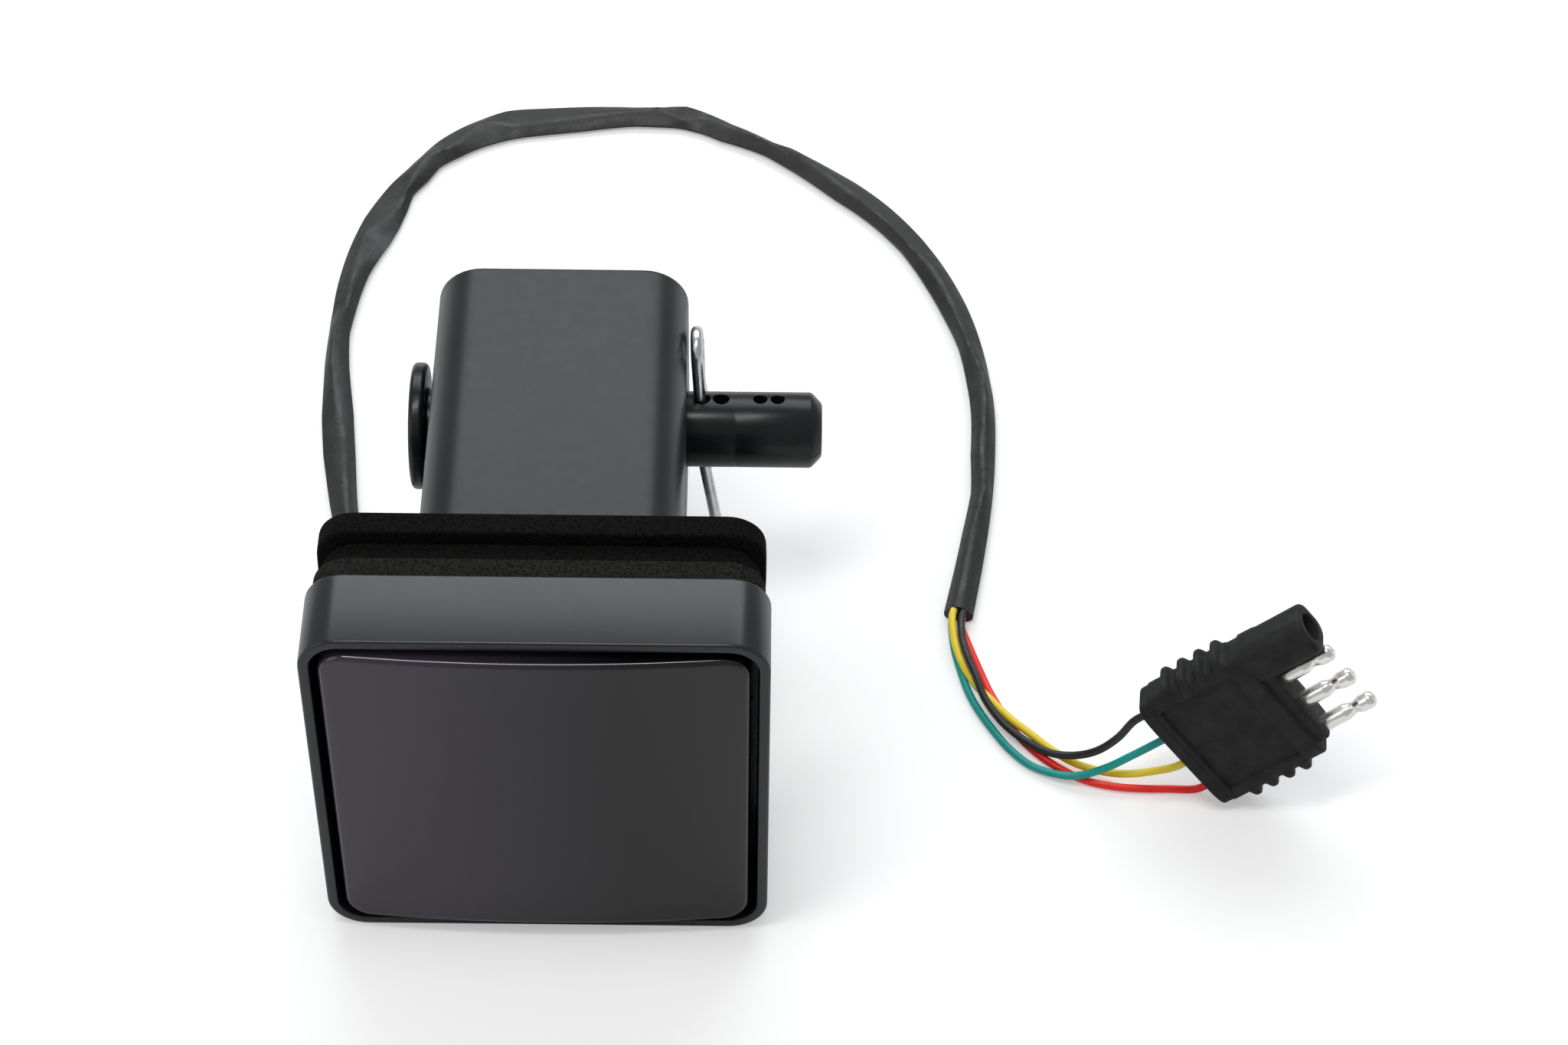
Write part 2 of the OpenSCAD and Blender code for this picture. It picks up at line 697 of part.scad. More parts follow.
housing();
lens();
lens_seal();
led_board();
board_leads();
board_screws();
for (i = [1:15]) led(i);
for (i = [1:5]) resistor(i);
for (i = [1:3]) diode(i);
shank();
shank_screws();
gasket_front_sheet();
gasket_middle_sheet();
gasket_rear_sheet();
hitch_pin();
hairpin_clip();
cable_grommet();
cord_sleeve();
wire_yellow();
wire_green();
wire_black();
wire_red();
plug_body();
plug_socket_terminal();
for (i = [1:3]) plug_terminal(i);
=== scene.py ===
import math
import bpy
import numpy as np
from mathutils import Matrix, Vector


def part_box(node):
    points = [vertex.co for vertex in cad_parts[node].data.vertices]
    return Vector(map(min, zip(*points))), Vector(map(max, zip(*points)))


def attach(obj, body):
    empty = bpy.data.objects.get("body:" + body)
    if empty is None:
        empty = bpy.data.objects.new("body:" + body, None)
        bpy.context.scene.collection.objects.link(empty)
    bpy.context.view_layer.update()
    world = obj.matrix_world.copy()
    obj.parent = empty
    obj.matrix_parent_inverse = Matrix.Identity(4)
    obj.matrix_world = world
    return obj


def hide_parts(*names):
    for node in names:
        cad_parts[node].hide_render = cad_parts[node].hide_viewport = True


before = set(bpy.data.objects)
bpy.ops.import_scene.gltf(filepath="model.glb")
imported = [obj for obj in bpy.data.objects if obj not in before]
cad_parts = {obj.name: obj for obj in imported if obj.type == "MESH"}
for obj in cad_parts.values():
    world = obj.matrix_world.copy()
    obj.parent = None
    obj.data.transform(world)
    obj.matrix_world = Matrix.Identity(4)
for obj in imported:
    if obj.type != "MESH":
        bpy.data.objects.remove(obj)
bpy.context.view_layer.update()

mm = 0.001

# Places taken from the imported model: the rim's front, the middle of the light, the pin's axis
housingLow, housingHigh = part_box("housing")
pinLow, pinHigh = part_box("hitch_pin")
grommetLow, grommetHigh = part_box("cable_grommet")
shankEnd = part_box("shank")[1][1]
middleX = (housingLow[0] + housingHigh[0]) / 2
middleZ = (housingLow[2] + housingHigh[2]) / 2
rimY = housingLow[1]
pinAxis = np.array([middleX, (pinLow[1] + pinHigh[1]) / 2, middleZ])
grommetFace = np.array([(grommetLow[0] + grommetHigh[0]) / 2, grommetHigh[1],
                        (grommetLow[2] + grommetHigh[2]) / 2])


# Camera: place in metres and its turn in radians, as fitted to the photograph
cameraFit = {
    "place": (0.0342, -0.4723, 0.5804),
    "bearing": 0.011,
    "down": 0.838,
    "roll": 0.0193,
    "lens": 84.66,
    "sensor": 36.0,
    "nearest": 0.01,
}


def makeCamera(fit):
    bearing, down, roll = fit["bearing"], fit["down"], fit["roll"]
    ahead = np.array([math.sin(bearing) * math.cos(down), math.cos(bearing) * math.cos(down),
                      -math.sin(down)])
    level = np.array([math.cos(bearing), -math.sin(bearing), 0.0])
    above = np.cross(level, ahead)
    right = math.cos(roll) * level + math.sin(roll) * above
    up = -math.sin(roll) * level + math.cos(roll) * above
    turn = Matrix(np.column_stack([right, up, -ahead]).tolist()).to_4x4()
    data = bpy.data.cameras.new("camera")
    data.lens = fit["lens"]
    data.sensor_width = fit["sensor"]
    data.clip_start = fit["nearest"]
    camera = bpy.data.objects.new("camera", data)
    camera.matrix_world = Matrix.Translation(fit["place"]) @ turn
    bpy.context.scene.collection.objects.link(camera)
    bpy.context.scene.camera = camera


makeCamera(cameraFit)
print("camera done")


# Meshes

def newPiece(name, points, faces, material, body, slotName, stands=(), smooth=35):
    mesh = bpy.data.meshes.new(name)
    mesh.from_pydata(np.asarray(points).tolist(), [], [list(map(int, f)) for f in faces])
    mesh.polygons.foreach_set("use_smooth", np.ones(len(mesh.polygons), dtype=bool))
    mesh.set_sharp_from_angle(angle=math.radians(smooth))
    mesh.materials.append(material)
    mesh.update()
    piece = bpy.data.objects.new(name, mesh)
    bpy.context.scene.collection.objects.link(piece)
    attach(piece, body)
    if stands:
        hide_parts(*stands)
    return piece


def gridFaces(rows, around, closed=True, offset=0):
    # quads between neighbouring rows; closed joins the last row to the first
    i = np.arange(rows if closed else rows - 1)
    j = np.arange(around)
    a, b = np.meshgrid(i, j, indexing="ij")
    nextRow = (a + 1) % rows
    nextCol = (b + 1) % around
    quads = np.stack([a * around + b, a * around + nextCol,
                      nextRow * around + nextCol, nextRow * around + b], -1)
    return (quads.reshape(-1, 4) + offset).tolist()


def cappedGrid(rows):
    # rows: array of closed rings; both ends are closed by a fan to the ring's middle
    count, around = rows.shape[:2]
    points = rows.reshape(-1, 3)
    faces = gridFaces(count, around, closed=False)
    first, last = len(points), len(points) + 1
    points = np.vstack([points, rows[0].mean(0), rows[-1].mean(0)])
    j = np.arange(around)
    k = (j + 1) % around
    top = (count - 1) * around
    faces += np.stack([k, j, np.full(around, first)], -1).tolist()
    faces += np.stack([top + j, top + k, np.full(around, last)], -1).tolist()
    return points, faces


def roundedOutline(width, height, radius, cornerSteps=10, sideSteps=24):
    # points round a rectangle with round corners; the same count for every size
    reach = np.array([width / 2 - radius, height / 2 - radius])
    signs = [(1, 1), (-1, 1), (-1, -1), (1, -1)]
    angle = np.linspace(0, math.pi / 2, cornerSteps + 1)
    corners = []
    for quarter, sign in enumerate(signs):
        turned = angle + quarter * math.pi / 2
        corners.append(reach * sign + radius * np.column_stack([np.cos(turned), np.sin(turned)]))
    side = np.linspace(0, 1, sideSteps + 1)[1:-1, None]
    out = []
    for quarter, corner in enumerate(corners):
        end, start = corner[-1], corners[(quarter + 1) % 4][0]
        out += [corner, end + side * (start - end)]
    return np.vstack(out)


def ringAt(flat, y):
    # an outline as a ring round the middle of the light, at depth y
    return np.column_stack([middleX + flat[:, 0], np.full(len(flat), y), middleZ + flat[:, 1]])


def outlineRows(width, height, radius, profile, tightest=0.15 * mm):
    # each profile point is (inset, y): the outline drawn in by inset at depth y
    return np.array([ringAt(roundedOutline(width - 2 * inset, height - 2 * inset,
                                           max(radius - inset, tightest)), y)
                     for inset, y in profile])


def roundCorner(a, b, c, radius, steps=4):
    # points of an arc-like blend at b between the lines a-b and b-c
    a, b, c = [np.array(p, float) for p in (a, b, c)]
    toA, toC = a - b, c - b
    start = b + toA / np.linalg.norm(toA) * radius
    end = b + toC / np.linalg.norm(toC) * radius
    t = np.linspace(0, 1, steps + 1)[:, None]
    return (1 - t) ** 2 * start + 2 * t * (1 - t) * b + t ** 2 * end


def roundedLoop(corners, radii, steps=4):
    # closed profile with each corner rounded by its own radius; a zero radius stays sharp
    out = []
    count = len(corners)
    for i in range(count):
        if radii[i] > 0:
            after = corners[(i + 1) % count]
            out += list(roundCorner(corners[i - 1], corners[i], after, radii[i], steps))
        else:
            out.append(np.array(corners[i], float))
    return np.array(out)


# Paths and tubes

def smoothPath(points, spacing):
    # Catmull-Rom curve through the points, sampled about every spacing
    p = np.asarray(points, float)
    p = np.vstack([2 * p[0] - p[1], p, 2 * p[-1] - p[-2]])
    pieces = []
    for i in range(1, len(p) - 2):
        steps = max(2, int(np.linalg.norm(p[i + 1] - p[i]) / spacing))
        t = np.linspace(0, 1, steps, endpoint=False)[:, None]
        pieces.append(0.5 * (2 * p[i] + (p[i + 1] - p[i - 1]) * t
                             + (2 * p[i - 1] - 5 * p[i] + 4 * p[i + 1] - p[i + 2]) * t ** 2
                             + (3 * p[i] - p[i - 1] - 3 * p[i + 1] + p[i + 2]) * t ** 3))
    return np.vstack(pieces + [p[-2:-1]])


def distanceAlong(points):
    # distance from the first point to each, along the line through them
    return np.concatenate([[0], np.cumsum(np.linalg.norm(np.diff(points, axis=0), axis=1))])


def pathFrames(path, upright):
    # the level side of the path and the upward direction, both square to its heading
    ahead = np.gradient(path, axis=0)
    ahead /= np.linalg.norm(ahead, axis=1)[:, None]
    side = np.cross(ahead, upright)
    side /= np.linalg.norm(side, axis=1)[:, None]
    return side, np.cross(side, ahead)


def tubeRows(path, radius, around, upright=(0, 0, 1)):
    # a round ring at each point of the path
    side, up = pathFrames(path, np.array(upright, float))
    angle = np.linspace(0, 2 * math.pi, around, endpoint=False)[:, None]
    return path[:, None] + radius * (np.cos(angle) * side[:, None] + np.sin(angle) * up[:, None])


# Materials

def colour(r, g, b):
    return (r, g, b, 1.0)


class Finish:
    # small helper that adds nodes in a row and links them
    def __init__(self, name):
        self.material = bpy.data.materials.new(name)
        self.material.use_nodes = True
        self.nodes = self.material.node_tree.nodes
        self.links = self.material.node_tree.links
        self.shader = self.nodes["Principled BSDF"]
        self.coords = self.nodes.new("ShaderNodeTexCoord").outputs["Object"]

    def set(self, **values):
        for key, value in values.items():
            self.shader.inputs[key.replace("_", " ")].default_value = value

    def noise(self, scale, detail=3.0, stretch=None):
        node = self.nodes.new("ShaderNodeTexNoise")
        node.inputs["Scale"].default_value = scale
        node.inputs["Detail"].default_value = detail
        self.links.new(self.stretched(stretch), node.inputs["Vector"])
        return node.outputs["Fac"]

    def cells(self, scale):
        node = self.nodes.new("ShaderNodeTexVoronoi")
        node.inputs["Scale"].default_value = scale
        self.links.new(self.coords, node.inputs["Vector"])
        return node.outputs["Distance"]

    def stretched(self, stretch):
        if stretch is None:
            return self.coords
        node = self.nodes.new("ShaderNodeMapping")
        node.inputs["Scale"].default_value = stretch
        self.links.new(self.coords, node.inputs["Vector"])
        return node.outputs["Vector"]

    def span(self, value, low, high, fromLow=0.3, fromHigh=0.7):
        node = self.nodes.new("ShaderNodeMapRange")
        node.inputs["From Min"].default_value = fromLow
        node.inputs["From Max"].default_value = fromHigh
        node.inputs["To Min"].default_value = low
        node.inputs["To Max"].default_value = high
        self.links.new(value, node.inputs["Value"])
        return node.outputs["Result"]

    def paint(self, value, first, second, fromLow=0.3, fromHigh=0.7):
        node = self.nodes.new("ShaderNodeMix")
        node.data_type = "RGBA"
        node.inputs["A"].default_value = first
        node.inputs["B"].default_value = second
        self.links.new(self.span(value, 0, 1, fromLow, fromHigh), node.inputs["Factor"])
        self.links.new(node.outputs["Result"], self.shader.inputs["Base Color"])

    def rough(self, value, low, high):
        self.links.new(self.span(value, low, high), self.shader.inputs["Roughness"])

    def bump(self, value, height, strength=1.0):
        node = self.nodes.new("ShaderNodeBump")
        node.inputs["Strength"].default_value = strength
        node.inputs["Distance"].default_value = height
        self.links.new(value, node.inputs["Height"])
        last = self.shader.inputs["Normal"]
        if last.is_linked:
            self.links.new(last.links[0].from_socket, node.inputs["Normal"])
        self.links.new(node.outputs["Normal"], last)


def mouldedPlastic(name, dark, light, low, high, gloss=0.5):
    # low and high bound the roughness; gloss is the level of the reflection
    finish = Finish(name)
    finish.paint(finish.noise(90, 4), dark, light)
    finish.rough(finish.noise(420, 3), low, high)
    finish.bump(finish.noise(2600, 2), 0.004 * mm)
    finish.set(IOR=1.5, Specular_IOR_Level=gloss)
    return finish.material


def foamRubber(name, dark, light):
    # dark foam: fine open cells on the cut faces
    finish = Finish(name)
    cellsFine = finish.cells(1500)
    cellsWide = finish.cells(620)
    finish.paint(cellsFine, dark, light, 0.1, 0.6)
    finish.rough(finish.noise(300), 0.85, 1.0)
    finish.bump(cellsWide, 0.25 * mm, 0.6)
    finish.bump(cellsFine, 0.16 * mm, 0.8)
    finish.set(IOR=1.45, Specular_IOR_Level=0.05)
    return finish.material


def smokedLens():
    # dark gloss; a painted reflection makes it a little paler and more violet toward the left
    finish = Finish("smokedLens")
    across = finish.nodes.new("ShaderNodeSeparateXYZ")
    finish.links.new(finish.coords, across.inputs["Vector"])
    # painted reflection: the base colour runs from pale violet on the left to near black on the
    # right
    finish.paint(across.outputs["X"], colour(0.033, 0.027, 0.040), colour(0.004, 0.0035, 0.0055),
                 middleX - 22 * mm, middleX + 16 * mm)
    finish.rough(finish.noise(180, 2), 0.05, 0.09)
    finish.set(IOR=1.49, Specular_IOR_Level=0.5)
    return finish.material


def coatedSteel():
    # black coat with fine marks that run along the pin
    finish = Finish("coatedSteel")
    finish.paint(finish.noise(160, 4), colour(0.005, 0.006, 0.007), colour(0.010, 0.011, 0.012))
    finish.rough(finish.noise(700, 3, stretch=(0.1, 1, 1)), 0.2, 0.32)
    finish.bump(finish.noise(900, 3, stretch=(0.08, 1, 1)), 0.01 * mm)
    finish.set(IOR=1.5, Specular_IOR_Level=0.3)
    return finish.material


def brightMetal(name, first, second, low, high, scale=500):
    finish = Finish(name)
    finish.set(Metallic=1.0)
    finish.paint(finish.noise(scale, 4), first, second)
    finish.rough(finish.noise(scale * 2, 3), low, high)
    finish.bump(finish.noise(scale * 3, 3), 0.02 * mm)
    return finish.material


def leadInsulation(name, first, second):
    finish = Finish(name)
    finish.paint(finish.noise(220, 3), first, second)
    finish.rough(finish.noise(500, 3), 0.32, 0.5)
    finish.bump(finish.noise(900, 2), 0.03 * mm)
    finish.set(IOR=1.5)
    return finish.material


def shrunkSleeve():
    # thin sleeve: soft wrinkles over a fine grain
    finish = Finish("shrunkSleeve")
    finish.paint(finish.noise(120, 5), colour(0.010, 0.010, 0.010), colour(0.022, 0.022, 0.021))
    finish.rough(finish.noise(240, 4), 0.36, 0.55)
    finish.bump(finish.noise(340, 4), 0.3 * mm, 0.6)
    finish.bump(finish.noise(1100, 3), 0.06 * mm)
    finish.set(IOR=1.48, Specular_IOR_Level=0.5)
    return finish.material


def plugRubber():
    finish = Finish("plugRubber")
    finish.paint(finish.noise(300, 4), colour(0.013, 0.013, 0.013), colour(0.024, 0.024, 0.024))
    finish.rough(finish.noise(400, 3), 0.5, 0.68)
    finish.bump(finish.cells(900), 0.06 * mm, 0.6)
    finish.set(IOR=1.48, Specular_IOR_Level=0.2)
    return finish.material


finishes = {
    "housing": mouldedPlastic("housingPlastic", colour(0.009, 0.010, 0.012),
                              colour(0.012, 0.014, 0.016), 0.27, 0.29, 0.46),
    "shank": mouldedPlastic("shankPlastic", colour(0.010, 0.011, 0.013),
                            colour(0.013, 0.015, 0.017), 0.32, 0.36, 0.34),
    "lens": smokedLens(),
    "foam": foamRubber("foamRubber", colour(0.004, 0.004, 0.0038), colour(0.019, 0.0185, 0.0175)),
    # a darker copy of the foam for the middle and rear sheets: painted shade
    "foamPaintedShade": foamRubber("foamRubberPaintedShade", colour(0.002, 0.002, 0.002),
                           colour(0.008, 0.008, 0.0075)),
    "pin": coatedSteel(),
    "clip": brightMetal("springWire", colour(0.62, 0.62, 0.64), colour(0.78, 0.78, 0.8), 0.16, 0.3),
    "sleeve": shrunkSleeve(),
    "yellow": leadInsulation("yellowInsulation", colour(0.92, 0.68, 0.025),
                             colour(0.97, 0.76, 0.05)),
    "green": leadInsulation("greenInsulation", colour(0.0, 0.30, 0.26), colour(0.002, 0.37, 0.33)),
    "black": leadInsulation("blackInsulation", colour(0.008, 0.009, 0.008),
                            colour(0.016, 0.017, 0.016)),
    "red": leadInsulation("redInsulation", colour(0.93, 0.012, 0.006), colour(0.98, 0.025, 0.015)),
    "plug": plugRubber(),
    "nickel": brightMetal("nickel", colour(0.90, 0.87, 0.83), colour(0.97, 0.95, 0.92),
                          0.2, 0.3, 700),
    "steel": brightMetal("platedSteel", colour(0.5, 0.5, 0.52), colour(0.66, 0.66, 0.68),
                         0.25, 0.4),
    "rubber": mouldedPlastic("sealRubber", colour(0.02, 0.02, 0.02), colour(0.03, 0.03, 0.03),
                             0.6, 0.8),
    "board": mouldedPlastic("boardMask", colour(0.7, 0.7, 0.66), colour(0.8, 0.8, 0.77), 0.4, 0.5),
    "epoxy": mouldedPlastic("diodeEpoxy", colour(0.8, 0.74, 0.72), colour(0.88, 0.83, 0.8),
                            0.1, 0.2),
    "lacquer": mouldedPlastic("resistorLacquer", colour(0.55, 0.42, 0.2), colour(0.65, 0.5, 0.26),
                              0.3, 0.4),
    "leads": leadInsulation("leadEnds", colour(0.4, 0.06, 0.04), colour(0.5, 0.1, 0.06)),
}
print("materials done")


# Cord: the sleeve, then the four wires; their routes in mm are the same points as the solids
sleeve = {
    "diameter": 5 * mm,
    "length": 0.46,
    # behind the grommet: distance along Y and drop, before the route's own points
    "leaving": [(0, 0), (8 * mm, 0), (16 * mm, 0.5 * mm)],
    "spacing": 1.2 * mm,
    "around": 36,
    # a middle line lower than this lies on the ground, on the flattened sleeve's own half height
    "lying": 3 * mm,
    "lift": 0.05 * mm,
    "bottomBow": 0.6,
    "route": [
        (-37.5, -12, 24), (-39, -1, 17), (-41.5, 9.5, 9.5), (-45, 21, 4), (-49, 34, 2.5),
        (-52.5, 48.5, 2.5), (-55, 65, 2.5), (-57, 80, 2.5), (-58.5, 94, 2.5), (-58.5, 109, 2.5),
        (-56.5, 124, 2.5), (-52, 139, 2.5), (-45.5, 153, 2.5), (-37, 165, 2.5),
        (-25.5, 172.5, 2.5), (-11.5, 175, 2.5), (3.5, 176, 2.5), (15.5, 175, 2.5),
        (27.5, 170.5, 2.5), (39.5, 163, 2.5), (50.5, 153.5, 2.5), (61, 142.5, 2.5),
        (69.5, 129.5, 2.5), (76, 115.5, 2.5), (80.5, 101, 2.5), (83, 85.5, 2.5), (83, 70, 2.5),
        (81.5, 55, 2.5), (79, 39, 2.5), (76, 23, 2.5)],
    # share of the length, then in mm how far the flattened sleeve reaches to its left and right
    # and half its height, then the place of the ridge across it and the sharpness of the ridge
    "shape": [
        (0, 2.5, 2.5, 2.5, 0, 2), (0.15, 2.5, 2.5, 2.5, 0, 2), (0.2, 2.7, 2.6, 2.3, 0.1, 1.9),
        (0.25, 3.6, 3.3, 1.7, 0.35, 1.4), (0.275, 3.4, 3.5, 1.7, 0.1, 1.5),
        (0.3, 2.5, 3.2, 1.9, -0.2, 1.6), (0.33, 1.9, 2.6, 2.2, -0.45, 1.5),
        (0.345, 2.0, 3.0, 2.0, 0.5, 1.2), (0.375, 2.8, 3.5, 1.8, 0.2, 1.5),
        (0.4, 3.8, 4.6, 1.4, -0.4, 1.2), (0.412, 4.2, 4.5, 1.3, 0.3, 1.3),
        (0.425, 4.1, 3.7, 1.4, 0.6, 1.2), (0.438, 3.9, 2.2, 1.6, 0.5, 1.3),
        (0.45, 3.4, 2.7, 1.7, -0.1, 1.6), (0.463, 3.3, 2.1, 1.7, -0.5, 1.2),
        (0.475, 3.7, 3.4, 1.6, 0.4, 1.2), (0.5, 4.2, 4.5, 1.4, -0.5, 1.2),
        (0.512, 4.8, 4.8, 1.3, 0.5, 1.2), (0.525, 4.3, 4.8, 1.3, 0.5, 1.5),
        (0.55, 3.8, 4.2, 1.4, 0.3, 1.6), (0.575, 3.1, 2.9, 1.6, 0.0, 1.5),
        (0.588, 3.4, 2.9, 1.6, -0.5, 1.2), (0.6, 4.9, 2.4, 1.5, 0.6, 1.1),
        (0.613, 3.8, 2.6, 1.5, -0.5, 1.2), (0.625, 2.7, 3.2, 1.6, -0.2, 1.5),
        (0.65, 1.8, 2.3, 2.1, 0.4, 1.3), (0.662, 2.6, 2.6, 2.0, -0.3, 1.4),
        (0.7, 4.1, 3.0, 1.7, 0.1, 1.6), (0.75, 4.1, 1.9, 1.9, 0.4, 1.4),
        (0.775, 3.9, 2.3, 1.9, -0.2, 1.5), (0.8, 3.5, 2.5, 2.0, 0.1, 1.6),
        (0.825, 2.8, 2.3, 2.3, 0.4, 1.4), (0.85, 2.3, 2.8, 2.3, -0.3, 1.5),
        (0.9, 2.3, 3.0, 2.2, 0.3, 1.7), (0.925, 2.6, 2.1, 2.3, -0.3, 1.5),
        (0.95, 2.8, 2.6, 2.2, 0.2, 1.7), (1, 3.1, 3.0, 2.3, 0, 1.9)],
}

wires = {
    "diameter": 1.6 * mm,
    "spacing": 0.7 * mm,
    "around": 14,
    # in wire diameters: each wire's offset from the sleeve's middle, and its straight ends
    "spread": 0.6,
    "straightStart": 1.5,
    "straightEnd": 2.5,
    "leads": {
        "yellow": {"across": -1, "up": 1, "pole": 2, "length": 0.075, "route": [
            (75, 15, 3), (76.5, 9.5, 2.5), (79, 4.5, 2), (82, 0, 2.5), (85.5, -4.5, 2.5),
            (89.5, -8.5, 2.5), (93.5, -12, 2), (98, -15, 1.5), (103, -17, 1.5),
            (108, -18.5, 2.5), (113, -19, 4)]},
        "green": {"across": -1, "up": -1, "pole": 1, "length": 0.077, "route": [
            (75, 15, 1), (76, 9.5, 1), (77.5, 3.5, 1), (79.5, -1.5, 1), (82.5, -7, 1),
            (85.5, -11.5, 1), (89.5, -15.5, 1), (94.5, -18, 1.5), (99, -19, 2.5),
            (104, -19, 5), (108.5, -18.5, 8)]},
        "black": {"across": 1, "up": 1, "pole": 0, "length": 0.072, "route": [
            (76.5, 15.5, 3.5), (77.5, 10, 4), (79, 5, 4), (80.5, 0, 3.5), (83, -4.5, 3),
            (86, -8, 2.5), (90, -11.5, 2.5), (94, -14, 3), (98.5, -15.5, 4.5),
            (102.5, -16.5, 7.5), (106, -16.5, 11.5)]},
        "red": {"across": 1, "up": -1, "pole": 3, "length": 0.079, "route": [
            (78, 15, 1.5), (80, 9, 1), (82, 3, 1), (84.5, -2.5, 1), (87, -7.5, 1),
            (90.5, -12, 1), (95, -16, 1), (100, -19, 1), (105.5, -20.5, 1), (111, -21, 1),
            (116.5, -21, 1)]},
    },
}

# Plug: the middle of its rear face on the ground plan in mm, and its turns about X, Y and Z
plug = {
    "place": (118.5, -18.5),
    "turn": (76, -40.5, 3),
    "width": 29.2 * mm,
    "thick": 10 * mm,
    "edge": 2 * mm,
    "length": 26.8 * mm,
    "reach": 11.2 * mm,
    "pitch": 7.05 * mm,
    "pole": 3.4 * mm,
}


def plugAxes(s):
    # the plug's own axes, and its place with its lowest rounded corner on the ground
    a, b, c = [math.radians(t) for t in s["turn"]]
    turnX = np.array([[1, 0, 0], [0, math.cos(a), -math.sin(a)], [0, math.sin(a), math.cos(a)]])
    turnY = np.array([[math.cos(b), 0, math.sin(b)], [0, 1, 0], [-math.sin(b), 0, math.cos(b)]])
    turnZ = np.array([[math.cos(c), -math.sin(c), 0], [math.sin(c), math.cos(c), 0], [0, 0, 1]])
    axes = turnZ @ turnY @ turnX
    flat = s["width"] / 2 - s["edge"]
    side = s["thick"] / 2 - s["edge"]
    height = flat * abs(axes[2, 1]) + side * abs(axes[2, 2]) + s["edge"] * math.cos(b)
    return axes, np.array([s["place"][0] * mm, s["place"][1] * mm, height])


plugTurn, plugPlace = plugAxes(plug)


def onPlug(points):
    return plugPlace + np.asarray(points) @ plugTurn.T


def poleSide(pole):
    # poles 0 to 3 lie side by side; 0 is the shrouded socket
    return (1.5 - pole) * plug["pitch"]


def creasedRows(path, left, right, height, ridge, sharp, around, bottomBow):
    # ring of a flattened tube: across = cos(angle), and the top falls from its ridge to both
    # edges as 1 - (distance from the ridge / distance from ridge to edge) ^ sharpness;
    # the bottom is a low bow, |sin(angle)| ^ bottomBow
    side, up = pathFrames(path, np.array([0, 0, 1.0]))
    angle = np.linspace(0, 2 * math.pi, around, endpoint=False)
    across = np.broadcast_to(np.cos(angle), (len(path), around))
    reach = np.where(across > 0, right[:, None], left[:, None])
    room = np.where(across > ridge[:, None], 1 - ridge[:, None], 1 + ridge[:, None])
    fall = (np.abs(across - ridge[:, None]) / room) ** sharp[:, None]
    low = -np.abs(np.sin(angle)) ** bottomBow
    rise = np.where(np.sin(angle) > 0, 1 - fall, low)
    rise = np.where(np.abs(np.sin(angle)) < 1e-6, 0, rise)
    return (path[:, None] + (across * reach)[..., None] * side[:, None]
            + (rise * height[:, None])[..., None] * up[:, None])


def makeSleeve(s):
    leaving = [grommetFace + [0, far, -drop] for far, drop in s["leaving"]]
    path = smoothPath(np.vstack([leaving, np.array(s["route"]) * mm]), s["spacing"])
    along = distanceAlong(path)
    shares, *columns = np.array(s["shape"]).T
    left, right, height, ridge, sharp = [np.interp(along / along[-1], shares, column)
                                         for column in columns]
    left, right, height = left * mm, right * mm, height * mm
    lying = path[:, 2] < s["lying"]
    path[lying, 2] = height[lying] + s["lift"]
    points, faces = cappedGrid(creasedRows(path, left, right, height, ridge, sharp,
                                           s["around"], s["bottomBow"]))
    piece = newPiece("cordSleeve", points, faces, finishes["sleeve"], "light", "sleeve_plastic",
                     ["cord_sleeve"], 24)
    print("sleeve length", round(float(distanceAlong(path)[-1]), 4))


def makeWire(name, lead):
    diameter = wires["diameter"]
    before, end = np.array(sleeve["route"][-2:]) * mm
    ahead = (end - before) / np.linalg.norm(end - before)
    across, up = np.array([-ahead[1], ahead[0], 0]), np.array([0, 0, 1])
    start = end + wires["spread"] * diameter * (lead["across"] * across + lead["up"] * up)
    pole = poleSide(lead["pole"])
    entry = onPlug([[-wires["straightEnd"] * diameter, pole, 0], [0, pole, 0]])
    path = smoothPath(np.vstack([[start, start + wires["straightStart"] * diameter * ahead],
                                 np.array(lead["route"]) * mm, entry]), wires["spacing"])
    points, faces = cappedGrid(tubeRows(path, diameter / 2, wires["around"]))
    piece = newPiece("wire" + name.capitalize(), points, faces, finishes[name], "light",
                     name + "_insulation", ["wire_" + name])
    print("wire", name, round(float(distanceAlong(path)[-1]), 4))
    return piece, start, path


makeSleeve(sleeve)
wirePieces = {name: makeWire(name, lead) for name, lead in wires["leads"].items()}
print("cord done")


# Housing: the rim, its rounded outer edge, the gap round the lens and the side walls
housing = {
    "width": 84 * mm,
    "depth": 16 * mm,
    "corner": 7.5 * mm,
    "rim": 2 * mm,
    # distance from the rim's front to the inner face of the back wall
    "floor": 13.5 * mm,
    "outerEdge": 0.6 * mm,
    "innerEdge": 0.3 * mm,
    "rearEdge": 0.5 * mm,
    "floorEdge": 0.3 * mm,
    # how far the back wall reaches in from each side; the shank's flange hides the rest
    "backInset": 30 * mm,
}


def makeHousing(s):
    front, rear, floor = rimY, rimY + s["depth"], rimY + s["floor"]
    loop = roundedLoop(
        [(0, front), (0, rear), (s["backInset"], rear), (s["backInset"], floor),
         (s["rim"], floor), (s["rim"], front)],
        [s["outerEdge"], s["rearEdge"], 0, 0, s["floorEdge"], s["innerEdge"]])
    rows = outlineRows(s["width"], s["width"], s["corner"], loop)
    newPiece("housingShell", rows.reshape(-1, 3), gridFaces(*rows.shape[:2]), finishes["housing"],
             "light", "housing_plastic", ["housing"])


makeHousing(housing)

